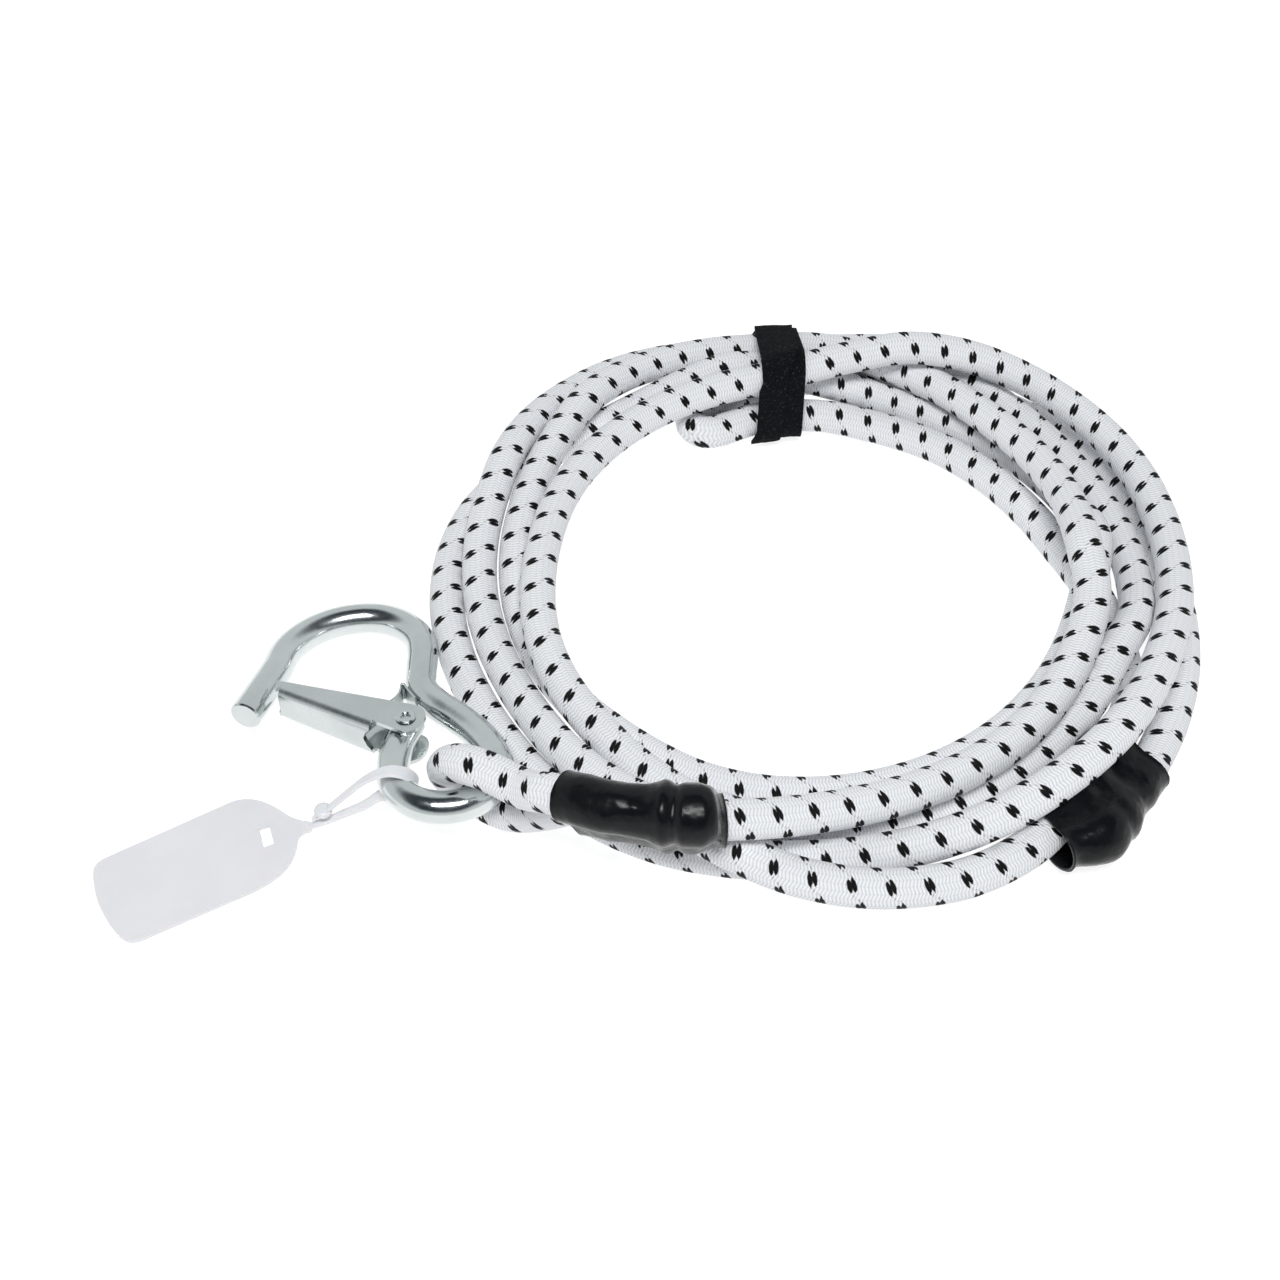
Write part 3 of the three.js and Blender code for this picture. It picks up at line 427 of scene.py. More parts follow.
def circle_ring(place, up, side, radius, sides):
    turn = 2 * np.pi * (np.arange(sides) + 0.5) / sides
    return place + radius * (np.cos(turn)[:, None] * up + np.sin(turn)[:, None] * side)


# The cord's route

def curve_between(p0, p1, p2, p3, t):
    """The smooth curve from p1 to p2, a share t of the way, led by the values on either side."""
    bend = 2 * p0 - 5 * p1 + 4 * p2 - p3 + t * (3 * (p1 - p2) + p3 - p0)
    return p1 + 0.5 * t * (p2 - p0 + t * bend)


def table_at(shares, start, step, degrees):
    place = (degrees - start) / step
    i = min(max(math.floor(place), 0), len(shares) - 2)
    around = (shares[min(max(k, 0), len(shares) - 1)] for k in (i - 1, i, i + 1, i + 2))
    return curve_between(*around, place - i)


class Station:
    def __init__(self, degrees, lane, layer, room):
        self.degrees = degrees
        self.lane = lane
        self.layer = layer
        self.room = room


def strand_stations(lanes, layers, rooms, start, step, first, last):
    return [
        Station(
            degrees,
            table_at(lanes, start, step, degrees),
            table_at(layers, start, step, degrees),
            rooms.get(degrees, 1),
        )
        for degrees in range(first, last + 1, STATION_DEGREES)
    ]


def floor_share_at(degrees, room):
    """The tie runs beneath the strands, so they lie a little higher there."""
    off = abs((degrees - TIE_ANGLE + 180) % 360 - 180)
    rise = (TIE_THICKNESS + 3 * SEAT_GAP + REST_FLAT) / CORD_DIAMETER
    lift = max(0, 1 - max(0, off - 2 * STATION_DEGREES) / TABLE_DEGREES)
    sleeve_rise = (REST_FLAT + SEAT_GAP) / CORD_DIAMETER if room > 1 else 0
    return 0.5 * room + max(rise * lift, sleeve_rise)


def smooth_strand(strand, softness):
    was = [(s.lane, s.layer) for s in strand]
    for i in range(1, len(strand) - 1):
        lane = (was[i - 1][0] + was[i + 1][0]) / 2 - was[i][0]
        layer = (was[i - 1][1] + was[i + 1][1]) / 2 - was[i][1]
        strand[i].lane += LANE_SOFTNESS_SHARE * softness * lane
        strand[i].layer += softness * layer


def push_apart(group):
    for a, one in enumerate(group):
        for two in group[a + 1:]:
            lane = two.lane - one.lane
            layer = two.layer - one.layer
            apart = math.hypot(lane, layer)
            room = 1 if one.room > 1 and two.room > 1 else (one.room + two.room) / 2
            wanted = STRAND_SPACING_SHARE * room
            if apart >= wanted:
                continue
            push = 0.5 * (wanted - apart) / max(apart, 1e-6)
            one.lane -= push * lane
            two.lane += push * lane
            one.layer -= push * layer
            two.layer += push * layer
    for s in group:
        s.layer = max(s.layer, floor_share_at(s.degrees, s.room))


def settle(strands):
    """Strands that meet at one station are pushed apart until they lie beside or on each other."""
    groups = {}
    for strand in strands:
        for station in strand:
            groups.setdefault(station.degrees % 360, []).append(station)
    for step in range(SETTLE_ROUNDS):
        softness = SETTLE_SOFTNESS_SHARE * (1 - step / SETTLE_ROUNDS)
        for strand in strands:
            smooth_strand(strand, softness)
        for _ in range(SETTLE_PASSES):
            for group in groups.values():
                push_apart(group)


def coil_point(station):
    turn = math.radians(station.degrees)
    radius = COIL_INNER_RADIUS + station.lane * CORD_DIAMETER
    return [
        COIL_CENTRE[0] + radius * math.cos(turn),
        COIL_CENTRE[1] + radius * math.sin(turn),
        station.layer * CORD_DIAMETER - REST_FLAT,
    ]


def thinned(points, keep_first, keep_last):
    last = len(points) - 1
    kept = [p for i, p in enumerate(points) if i <= keep_first or i >= last - keep_last or i % 2 == 0]
    return np.array(kept)


def ease_apart(strands):
    """Where strands cross between stations they are eased apart in space, never downwards."""
    points = np.vstack(strands)
    lowest = points[:, 2].copy()
    starts = np.cumsum([0] + [len(s) for s in strands])
    tip, share, strand = [], [], []
    for n, first in enumerate(starts[:-1]):
        for i in range(first + 1, starts[n + 1]):
            for k in range(SPOTS_PER_STEP):
                tip.append(i)
                share.append(k / SPOTS_PER_STEP)
                strand.append(n)
    tip, share, strand = np.array(tip), np.array(share)[:, None], np.array(strand)
    near = (strand[:, None] == strand) & (np.abs(tip[:, None] - tip) < EASE_SKIP_STEPS)
    allowed = np.triu(~near, 1)
    for _ in range(EASE_ROUNDS):
        spots = points[tip - 1] * (1 - share) + points[tip] * share
        distance = np.linalg.norm(spots[:, None] - spots, axis=2)
        one, two = np.nonzero(allowed & (distance < CORD_DIAMETER + EASE_GAP))
        apart = spots[two] - spots[one]
        length = distance[one, two][:, None]
        move = 0.5 * EASE_SHARE * (CORD_DIAMETER + EASE_GAP - length) * apart / length
        for spot, sign in ((one, -1), (two, 1)):
            np.add.at(points, tip[spot] - 1, sign * move * (1 - share[spot]))
            np.add.at(points, tip[spot], sign * move * share[spot])
        points[:, 2] = np.maximum(points[:, 2], lowest)
    return [points[a:b] for a, b in zip(starts, starts[1:])]


line_stations = strand_stations(
    LINE_LANE_SHARES, LINE_LAYER_SHARES, LINE_ROOMS, LINE_TABLE_START, TABLE_DEGREES,
    LINE_START_DEGREES, LINE_END_DEGREES,
)
outer_stations = strand_stations(
    OUTER_LANE_SHARES, OUTER_LAYER_SHARES, LEG_ROOMS, EYE_TABLE_START, EYE_TABLE_DEGREES,
    OUTER_LEG_START, EYE_END_DEGREES,
)
inner_stations = strand_stations(
    INNER_LANE_SHARES, INNER_LAYER_SHARES, LEG_ROOMS, EYE_TABLE_START, EYE_TABLE_DEGREES,
    INNER_LEG_START, EYE_END_DEGREES,
)
settle([line_stations, outer_stations, inner_stations])
line_points = thinned([coil_point(s) for s in line_stations], LINE_KEPT_FIRST, LINE_KEPT_LAST)
inner_points = thinned([coil_point(s) for s in inner_stations], LEG_KEPT_FIRST, 0)
outer_points = thinned([coil_point(s) for s in outer_stations], LEG_KEPT_FIRST, 0)
line_last = line_points[-1:]
line_points, inner_points, outer_points = ease_apart([line_points[:-1], inner_points, outer_points])
line_points = np.vstack([line_points, line_last])
hook_mouth = line_points[0] + HOOK_MOUTH_DROP
coil_points = line_points[1:]


def eye_tip(inner, outer):
    """The half turn at the far loop's end, from the inner leg to the outer one."""
    middle = (inner + outer) / 2
    across = (outer - inner) / 2
    ahead = -np.linalg.norm(across) * unit(np.cross(across, UP))
    turns = np.pi * np.arange(EYE_TIP_STEPS + 1) / EYE_TIP_STEPS
    return np.array([
        middle - math.cos(t) * across + (math.sin(t) + EYE_TIP_REACH_SHARE) * ahead
        for t in turns
    ])


tail_end = outer_points[0] - EYE_TAIL_REACH * unit(outer_points[1] - outer_points[0])
eye_points = np.vstack([
    inner_points, eye_tip(inner_points[-1], outer_points[-1]), outer_points[::-1], [tail_end],
])
sleeve_line = np.vstack([[hook_mouth], line_points[1:HOOK_SLEEVE_POINTS + 1]])


def place_along(points, distance):
    left = distance
    for i in range(len(points) - 1):
        step = points[i + 1] - points[i]
        length = np.linalg.norm(step)
        if left <= length or i == len(points) - 2:
            return points[i] + left * step / length, step / length
        left -= length


def tail_place(distance):
    place, ahead = place_along(sleeve_line, distance)
    return place + PAIR_SPACING * unit(TAIL_LEAN - TAIL_LEAN.dot(ahead) * ahead)


bight_turn = smooth_line([hook_mouth, *BIGHT_PLACES, tail_place(0)], BIGHT_STEP)
bight_points = np.vstack([bight_turn, [tail_place(d) for d in HOOK_TAIL_DISTANCES]])
route = smooth_line(np.vstack([bight_points[::-1], coil_points, eye_points]), CORD_RING_STEP)


# Node graphs

class Graph:
    """A material's nodes: each call makes one node and links or sets its inputs."""

    def __init__(self, name):
        self.material = bpy.data.materials.new(name)
        self.material.use_nodes = True
        self.tree = self.material.node_tree
        self.shader = self.tree.nodes["Principled BSDF"]

    def put(self, socket, value):
        if isinstance(value, bpy.types.NodeSocket):
            self.tree.links.new(value, socket)
        else:
            socket.default_value = value

    def node(self, kind, inputs=(), **settings):
        made = self.tree.nodes.new(kind)
        for name, value in settings.items():
            setattr(made, name, value)
        for key, value in dict(inputs).items():
            self.put(made.inputs[key], value)
        return made

    def math(self, operation, a, b=0.0):
        return self.node("ShaderNodeMath", {0: a, 1: b}, operation=operation).outputs[0]

    def mix(self, factor, a, b):
        """The colour mix; inputs 6 and 7 and output 2 are the node's colour sockets."""
        return self.node("ShaderNodeMix", {0: factor, 6: a, 7: b}, data_type="RGBA").outputs[2]

    def noise(self, scale, detail=2.0, roughness=0.5):
        place = self.node("ShaderNodeTexCoord").outputs["Object"]
        inputs = {"Vector": place, "Scale": scale, "Detail": detail, "Roughness": roughness}
        return self.node("ShaderNodeTexNoise", inputs).outputs["Fac"]

    def spread(self, value, from_low, from_high, to_low=0.0, to_high=1.0):
        inputs = {"From Min": from_low, "From Max": from_high, "To Min": to_low, "To Max": to_high}
        made = self.node("ShaderNodeMapRange", {"Value": value, **inputs})
        return made.outputs["Result"]

    def bump(self, height, strength, distance, normal=None):
        inputs = {"Strength": strength, "Distance": distance, "Height": height}
        if normal is not None:
            inputs["Normal"] = normal
        return self.node("ShaderNodeBump", inputs).outputs["Normal"]

    def surface(self, **inputs):
        for key, value in inputs.items():
            self.put(self.shader.inputs[key.replace("_", " ")], value)
        return self.material


# Materials

def triangle_wave(g, value):
    return g.math("PINGPONG", value, 0.5)


def centred(g, value, width):
    """The place within each cell, from minus half its width to plus half."""
    return g.math("MULTIPLY", g.math("SUBTRACT", g.math("FRACT", value), 0.5), width)


def braid_ribs(g, along, around):
    """The ribs lean one way and then the other from column to column, with a shaded fold between; the
    height also sets the cloth's colour, so the grooves and folds are darkened as painted shade.
    """
    column = triangle_wave(g, g.math("MULTIPLY", around, BRAID_COLUMNS / 2))
    lean = g.math("MULTIPLY", column, 2 * CHEVRON_SHARE)
    rib_place = g.math("ADD", g.math("DIVIDE", along, RIB_PITCH), lean)
    rib = g.math("MULTIPLY", triangle_wave(g, rib_place), 2.0)
    fold = g.math("SUBTRACT", 0.5, g.math("ABSOLUTE", g.math("SUBTRACT", column, 0.25)))
    shade = g.spread(fold, FOLD_FROM_SHARE, FOLD_TO_SHARE, FOLD_SHADE_SHARE, 1.0)
    return rib, g.math("MULTIPLY", g.math("POWER", rib, RIB_POWER), shade)


def tracer_marks(g, along, around):
    """Each mark is two short bars side by side; also returns the places along and across its cell."""
    row_place = g.math("MULTIPLY", around, MARK_ROWS)
    row = g.math("FLOOR", row_place)
    b = centred(g, row_place, math.pi * CORD_DIAMETER / MARK_ROWS)
    turns = g.math("DIVIDE", along, MARK_PITCH)
    turns = g.math("SUBTRACT", turns, g.math("MULTIPLY", row, MARK_ROW_OFFSET_SHARE))
    a = centred(g, turns, MARK_PITCH)
    a = g.math("SUBTRACT", a, g.math("MULTIPLY", b, MARK_SLANT))
    wobble = g.math("SUBTRACT", g.noise(WOBBLE_SCALE, 1.0), 0.5)
    ragged = g.math("MULTIPLY", wobble, WOBBLE_WIDTH)
    bars = []
    for sign in (-1, 1):
        along_bar = g.math("ADD", g.math("ADD", b, sign * MARK_STAGGER), ragged)
        reach = g.math("DIVIDE", g.math("ABSOLUTE", along_bar), MARK_HALF_LENGTH)
        filled = g.math("POWER", reach, MARK_TAPER_POWER)
        half = g.math("MULTIPLY", g.math("SUBTRACT", 1.0, filled), MARK_BAR_HALF_WIDTH)
        off = g.math("ABSOLUTE", g.math("SUBTRACT", a, sign * MARK_BAR_SPACING / 2))
        bars.append(g.spread(g.math("SUBTRACT", half, off), -MARK_EDGE, MARK_EDGE))
    return g.math("MAXIMUM", *bars), a, b


def braid_material():
    g = Graph("braid_white")
    parts = g.node("ShaderNodeSeparateXYZ", {"Vector": g.node("ShaderNodeTexCoord").outputs["UV"]})
    along = g.math("DIVIDE", parts.outputs["X"], MM)
    around = parts.outputs["Y"]
    rib, height = braid_ribs(g, along, around)
    mark, a, b = tracer_marks(g, along, around)
    outside = g.spread(g.math("ABSOLUTE", b), MARK_HALF_LENGTH, MARK_HALF_LENGTH + TRACE_GAP)
    on_line = g.spread(g.math("ABSOLUTE", a), TRACE_HALF_WIDTH, TRACE_CORE)
    trace = g.math("MULTIPLY", g.math("MULTIPLY", outside, on_line), g.math("SUBTRACT", 1.0, rib))
    # Painted shade: the colour runs from grey in the grooves and folds to white on the rib tops, following
    # the bump height
    cloth = g.mix(height, BRAID_GROOVE_PAINTED_SHADE, BRAID_WHITE)
    cloth = g.mix(g.math("MULTIPLY", trace, TRACE_STRENGTH), cloth, BRAID_TRACE)
    colour = g.mix(mark, cloth, BRAID_BLACK)
    normal = g.bump(height, 0.55, RIB_DEPTH * MM)
    normal = g.bump(g.noise(YARN_SCALE), 0.12, YARN_DEPTH * MM, normal)
    return g.surface(Base_Color=colour, Roughness=0.6, Normal=normal, Specular_IOR_Level=0.12)


def shrink_material():
    g = Graph("shrink_black")
    wave = g.noise(70.0, 3.0)
    fine = g.noise(900.0, 2.0)
    rough = g.spread(g.noise(160.0, 3.0), 0.3, 0.7, 0.16, 0.3)
    normal = g.bump(wave, 0.5, 2.4 * MM)
    normal = g.bump(fine, 0.08, 0.3 * MM, normal)
    colour = g.mix(g.noise(240.0, 3.0), SHRINK_BLACK, SHRINK_WORN)
    return g.surface(Base_Color=colour, Roughness=rough, Normal=normal, Specular_IOR_Level=0.2)


def nap_material():
    g = Graph("nap_black")
    curls = g.noise(1100.0, 6.0, 0.75)
    clumps = g.noise(230.0, 3.0)
    height = g.math("ADD", curls, g.math("MULTIPLY", clumps, 0.8))
    normal = g.bump(height, 0.9, 1.3 * MM)
    lit = g.spread(curls, 0.56, 0.72)
    colour = g.mix(lit, NAP_BLACK, NAP_LIT)
    return g.surface(Base_Color=colour, Roughness=0.85, Normal=normal, Specular_IOR_Level=0.08)


def zinc_material(name, brightness, rough_low, rough_high):
    g = Graph(name)
    cloud = g.noise(45.0, 4.0, 0.6)
    fine = g.noise(700.0, 3.0)
    dull, pale = ((*(c * brightness for c in colour), 1) for colour in (ZINC_DULL, ZINC_PALE))
    colour = g.mix(g.spread(cloud, 0.3, 0.7), dull, pale)
    rough = g.spread(g.math("ADD", cloud, g.math("MULTIPLY", fine, 0.4)), 0.45, 0.95, rough_low, rough_high)
    normal = g.bump(g.noise(120.0, 3.0), 0.12, 0.8 * MM)
    normal = g.bump(fine, 0.05, 0.15 * MM, normal)
    return g.surface(Base_Color=colour, Metallic=1.0, Roughness=rough, Normal=normal)


def label_material():
    g = Graph("label_white")
    colour = g.mix(g.noise(60.0, 3.0), LABEL_GREY, LABEL_WHITE)
    normal = g.bump(g.noise(220.0, 3.0), 0.05, 0.5 * MM)
    return g.surface(
        Base_Color=colour, Roughness=0.34, Normal=normal, Subsurface_Weight=0.15, Subsurface_Scale=2 * MM,
    )


braid = braid_material()
shrink = shrink_material()
nap = nap_material()
zinc = zinc_material("zinc_bright", 1.0, 0.12, 0.26)
gate_zinc = zinc_material("zinc_sheet", 0.97, 0.2, 0.32)
spring_steel = zinc_material("steel_spring", 0.95, 0.14, 0.28)
label = label_material()


# Cord: one tube from its tail in the hook's sleeve to its tail in the far sleeve

def make_cord():
    frames = frames_along(route)
    rings = np.array([circle_ring(p, up, side, CORD_RADIUS, CORD_RING_SIDES) for p, _, up, side in frames])
    rings[:, :, 2] = np.maximum(rings[:, :, 2], 0)
    count = len(rings)
    faces = capped(ring_faces(count, CORD_RING_SIDES), count, CORD_RING_SIDES)
    piece = make_object("cord", rings.reshape(-1, 3), faces, "line", braid, smooth_angle=60)
    along = lengths_along(route) * MM
    uv = piece.data.uv_layers.new(name="braid")
    for face in piece.data.polygons:
        if len(face.vertices) > 4:
            continue
        sides = [v % CORD_RING_SIDES for v in face.vertices]
        wraps = max(sides) - min(sides) > 1
        for loop, vertex, side in zip(face.loop_indices, face.vertices, sides):
            if wraps and side == 0:
                side = CORD_RING_SIDES
            uv.data[loop].uv = (along[vertex // CORD_RING_SIDES], side / CORD_RING_SIDES)
    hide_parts(*(f"{kind}_{name}" for kind in ("cord", "core") for name in ("coil", "bight", "eye")))


make_cord()


# Sleeves run round two strands at once

def pair_ring(one, two, ahead, lean, radius):
    """A ring round two strands, drawn in a little between them."""
    up = unit(lean - lean.dot(ahead) * ahead)
    side = np.cross(ahead, up)
    spread = np.linalg.norm(two - one) / PAIR_SPACING
    ring = []
    caps = ((two, one, 0), (one, two, 180))
    for centre, other, first in caps:
        for k in range(SLEEVE_CAP_SIDES + 1):
            turn = math.radians(first - 90 + 180 * k / SLEEVE_CAP_SIDES)
            ring.append(centre + radius * (math.cos(turn) * up + math.sin(turn) * side))
        turn = math.radians(first + 90)
        flank = radius * (math.cos(turn) * up + math.sin(turn) * side)
        for k in range(1, SLEEVE_FLANK_SIDES):
            share = k / SLEEVE_FLANK_SIDES
            dip = 1 - SLEEVE_WAIST * spread * math.sin(math.pi * share) ** 2 / radius
            ring.append(centre + (other - centre) * share + flank * dip)
    return np.array(ring)


def sleeve_radius(bulge):
    return SNUG_RADIUS + bulge * (BULGE_RADIUS - SNUG_RADIUS)


def hook_sleeve_section(row):
    distance, bulge, tail_share = row
    place, ahead = place_along(sleeve_line, distance)
    return place, place + (tail_place(distance) - place) * tail_share, ahead, TAIL_LEAN, bulge


far_line = np.vstack([line_points[-FAR_LINE_POINTS:], inner_points[:FAR_LEG_POINTS]])
far_tail = np.vstack([[tail_end], outer_points[:FAR_TAIL_POINTS]])


def at_degrees(points, degrees):
    """Where a strand crosses the plane at this angle of the coil, and the way it runs there."""
    turn = math.radians(degrees)
    ahead = np.array([-math.sin(turn), math.cos(turn), 0])
    off = (points[:, :2] - COIL_CENTRE) @ ahead[:2]
    i = 0
    while i < len(points) - 2 and off[i + 1] < 0:
        i += 1
    share = -off[i] / (off[i + 1] - off[i])
    return points[i] + (points[i + 1] - points[i]) * share, ahead


def far_sleeve_section(row):
    degrees, bulge, tail_share = row
    place, ahead = at_degrees(far_line, degrees)
    tail = at_degrees(far_tail, degrees)[0]
    return place, place + (tail - place) * tail_share, ahead, tail - place, bulge


def split_rows(rows):
    """Adds rows between the ones given, so that the sleeve's profile runs smoothly."""
    rows = np.asarray(rows, float)
    last = len(rows) - 1
    fine = []
    for i in range(last):
        before, after = rows[max(i - 1, 0)], rows[min(i + 2, last)]
        for k in range(SLEEVE_SPLITS):
            fine.append(curve_between(before, rows[i], rows[i + 1], after, k / SLEEVE_SPLITS))
    fine.append(rows[-1])
    return fine


def make_sleeve(name, rows, section, node, clamps):
    sections = [section(row) for row in split_rows(rows)]
    outer, inner = [], []
    for one, two, ahead, lean, bulge in sections:
        radius = sleeve_radius(max(bulge, LEAST_BULGE_SHARE))
        outer.append(pair_ring(one, two, ahead, lean, radius + SLEEVE_WALL))
        inner.append(pair_ring(one, two, ahead, lean, radius))
    outer, inner = np.array(outer), np.array(inner)
    for ring in outer:
        for i, place in enumerate(ring):
            coarse = noise.noise(Vector(place * WRINKLE_COARSE_SCALE))
            fine = noise.noise(Vector(place * WRINKLE_FINE_SCALE))
            wave = coarse + WRINKLE_FINE_SHARE * fine
            ring[i] = place + SLEEVE_WRINKLE * wave * unit(place - ring.mean(axis=0))
    sides = outer.shape[1]
    rings = np.vstack([outer, inner[::-1]])
    rings[:, :, 2] = np.maximum(rings[:, :, 2], SEAT_GAP)
    faces = ring_faces(len(rings), sides, closed=True)
    piece = make_object(name, rings.reshape(-1, 3), faces, "line", shrink, smooth_angle=180)
    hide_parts(node, *clamps)


make_sleeve(
    "sleeve_hook", HOOK_SLEEVE_ROWS, hook_sleeve_section, "hook_sleeve", ["hook_clamp_1", "hook_clamp_2"],
)
make_sleeve(
    "sleeve_far", FAR_SLEEVE_ROWS, far_sleeve_section, "far_sleeve", ["far_clamp_1", "far_clamp_2"],
)


# Tie: a band round all the strands, with its free tongue on top

def tie_spots(offset, angles, height):
    """Places round the bundle, all in one plane across it."""
    middle = np.array([*COIL_CENTRE, 0]) + offset * TIE_AHEAD
    centres = []
    for points in (coil_points, eye_points):
        off = points - middle
        for a, b in zip(off, off[1:]):
            if a @ TIE_OUT < 0 or (a @ TIE_AHEAD) * (b @ TIE_AHEAD) > 0:
                continue
            centres.append(a + (b - a) * (a @ TIE_AHEAD) / (a @ TIE_AHEAD - b @ TIE_AHEAD))
    centres = np.array(centres)
    spots = []
    for angle in angles:
        way = TIE_OUT * math.cos(math.radians(angle)) + UP * math.sin(math.radians(angle))
        place = centres[np.argmax(centres @ way)] + middle + height * way
        wave = noise.noise(Vector(place * NAP_WAVE_SHARE))
        spots.append(place + NAP_WAVE_HEIGHT * wave * way)
    return np.array(spots)


def make_tie():
    angles = [360 - 360 * (k + 0.5) / TIE_SIDES for k in range(TIE_SIDES)]
    offsets = np.linspace(TIE_RIGHT, TIE_LEFT, TIE_SECTIONS + 1)
    outer = np.array([tie_spots(offset, angles, TIE_SEAT + TIE_THICKNESS) for offset in offsets])
    inner = np.array([tie_spots(offset, angles, TIE_SEAT) for offset in offsets])
    rings = np.vstack([outer, inner[::-1]])
    faces = ring_faces(len(rings), TIE_SIDES, closed=True)
    piece = make_object("tie_band", rings.reshape(-1, 3), faces, "line", nap, smooth_angle=50)
    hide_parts("tie")


def make_tongue():
    """The tie's free end runs askew over the band, from the back over the top to its rounded tip."""
    low = TIE_SEAT + TIE_THICKNESS + NAP_WAVE_HEIGHT
    start, end = TONGUE_ANGLES[0], TONGUE_ANGLES[-1]
    rows = []
    for angle in np.linspace(start, end, TONGUE_ROWS):
        left = np.interp(angle, TONGUE_ANGLES, TONGUE_LEFT)
        right = np.interp(angle, TONGUE_ANGLES, TONGUE_RIGHT)
        past = max(0, (angle - TONGUE_ROUND_FROM) / (end - TONGUE_ROUND_FROM))
        width = (left - right) * max(TONGUE_TIP_SHARE, math.sqrt(1 - past * past))
        middle = (left + right) / 2
        offsets = [middle + width * (k / TONGUE_COLUMNS - 0.5) for k in range(TONGUE_COLUMNS + 1)]
        top = [tie_spots(offset, [angle], low + TONGUE_THICKNESS)[0] for offset in offsets]
        bottom = [tie_spots(offset, [angle], low)[0] for offset in offsets]
        rows.append([*top, *bottom[::-1]])
    rings = np.array(rows)
    sides = rings.shape[1]
    faces = capped(ring_faces(len(rings), sides), len(rings), sides)
    make_object("tie_tongue", rings.reshape(-1, 3), faces, "line", nap, smooth_angle=50)


make_tie()
make_tongue()


# Hook

def arc(centre, radius, first, last, step):
    steps = round(abs(last - first) / step)
    turns = np.radians(first + (last - first) * np.arange(steps + 1) / steps)
    return [(centre[0] + radius * math.cos(t), centre[1] + radius * math.sin(t)) for t in turns]


HOOK_TURN = np.array([
    [1, 0, 0],
    [0, math.cos(HOOK_LEAN), math.sin(HOOK_LEAN)],
    [0, -math.sin(HOOK_LEAN), math.cos(HOOK_LEAN)],
])


def hook_spots(points):
    return np.asarray(points, float) @ HOOK_TURN.T + HOOK_PLACE


def gate_spots(points):
    points = np.asarray(points, float)
    cos, sin = math.cos(GATE_TURN), math.sin(GATE_TURN)
    u = points[:, 0] * cos - points[:, 1] * sin + RIVET_PLACE[0]
    v = points[:, 0] * sin + points[:, 1] * cos + RIVET_PLACE[1]
    return hook_spots(np.stack([u, v, points[:, 2]], axis=1))


def make_hook():
    half_way = (NOSE_END + [FLARE_CENTRE[0] - FLARE_RADIUS, FLARE_CENTRE[1]]) / 2
    places = [
        tuple(NOSE_END), tuple(half_way), *arc(FLARE_CENTRE, FLARE_RADIUS, 180, 90, ARC_STEP),
        *arc(BEND_CENTRE, BEND_RADIUS, 90, 0, ARC_STEP)[1:], *SHANK_PLACES,
        *arc(EYE_CENTRE, EYE_RADIUS, EYE_FROM_DEGREES, -180, ARC_STEP), *BAR_END_PLACES,
    ]
    line = hook_spots(smooth_line([(u, v, 0) for u, v in places], BAR_STEP))
    frames = frames_along(line)
    rings = []
    last = len(frames) - 1
    for i, (place, ahead, up, side) in enumerate(frames):
        if i in (0, last):
            inward = ahead * (BAR_CHAMFER if i == 0 else -BAR_CHAMFER)
            pair = [
                circle_ring(place, up, side, BAR_RADIUS - BAR_CHAMFER, BAR_SIDES),
                circle_ring(place + inward, up, side, BAR_RADIUS, BAR_SIDES),
            ]
            rings += pair if i == 0 else pair[::-1]
        else:
            rings.append(circle_ring(place, up, side, BAR_RADIUS, BAR_SIDES))
    faces = capped(ring_faces(len(rings), BAR_SIDES), len(rings), BAR_SIDES)
    piece = make_object("hook_bar", np.vstack(rings), faces, "hook", zinc, smooth_angle=30)
    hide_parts("hook_body")


make_hook()


# Gate, rivet and spring

def gate_half_height(x):
    return GATE_PIVOT_HALF_HEIGHT - GATE_SLOPE * max(x, 0)


def web_at(x):
    return WEB_START[1] + (WEB_END[1] - WEB_START[1]) * (x - WEB_START[0]) / (WEB_END[0] - WEB_START[0])


def object_from(mesh, name, material):
    """Turns a working mesh into an object of the scene."""
    bmesh.ops.recalc_face_normals(mesh, faces=mesh.faces)
    data = bpy.data.meshes.new(name)
    mesh.to_mesh(data)
    mesh.free()
    data.materials.append(material)
    data.shade_smooth()
    piece = bpy.data.objects.new(name, data)
    bpy.context.scene.collection.objects.link(piece)
    return piece


def round_edges(piece, width, steps):
    edge = piece.modifiers.new("edge", "BEVEL")
    edge.width = width * MM
    edge.segments = steps
    edge.limit_method = "ANGLE"
    edge.angle_limit = EDGE_ANGLE
    edge.harden_normals = True


def gate_profile(share_x):
    """One bent section of the sheet, from the upper flange's fold to the lower one's."""
    radius = GATE_FOLD_RADIUS
    rows = []
    for m in range(FOLD_ROWS + 1):
        turn = math.pi / 2 * m / FOLD_ROWS
        rows.append((radius * (math.sin(turn) - 1), radius * (math.cos(turn) - 1), 1))
    for m in range(1, WEB_ROWS):
        rows.append((0, -radius, 1 - 2 * m / WEB_ROWS))
    for m in range(FOLD_ROWS + 1):
        turn = math.pi / 2 * (1 - m / FOLD_ROWS)
        rows.append((radius * (math.sin(turn) - 1), radius * (math.cos(turn) - 1), -1))
    places = []
    for inset, drop, level in rows:
        notch = GATE_NOTCH_DEPTH * (1 - share_x) ** GATE_NOTCH_POWER * math.sqrt(1 - abs(level))
        x = WEB_START[0] + (WEB_END[0] - WEB_START[0]) * share_x + notch
        half = gate_half_height(x) - GATE_METAL / 2
        if abs(level) == 1:
            z = math.copysign(half + drop, level)
        else:
            z = level * (half - radius)
        places.append((x, web_at(x) - GATE_METAL / 2 + inset, z))
    return places


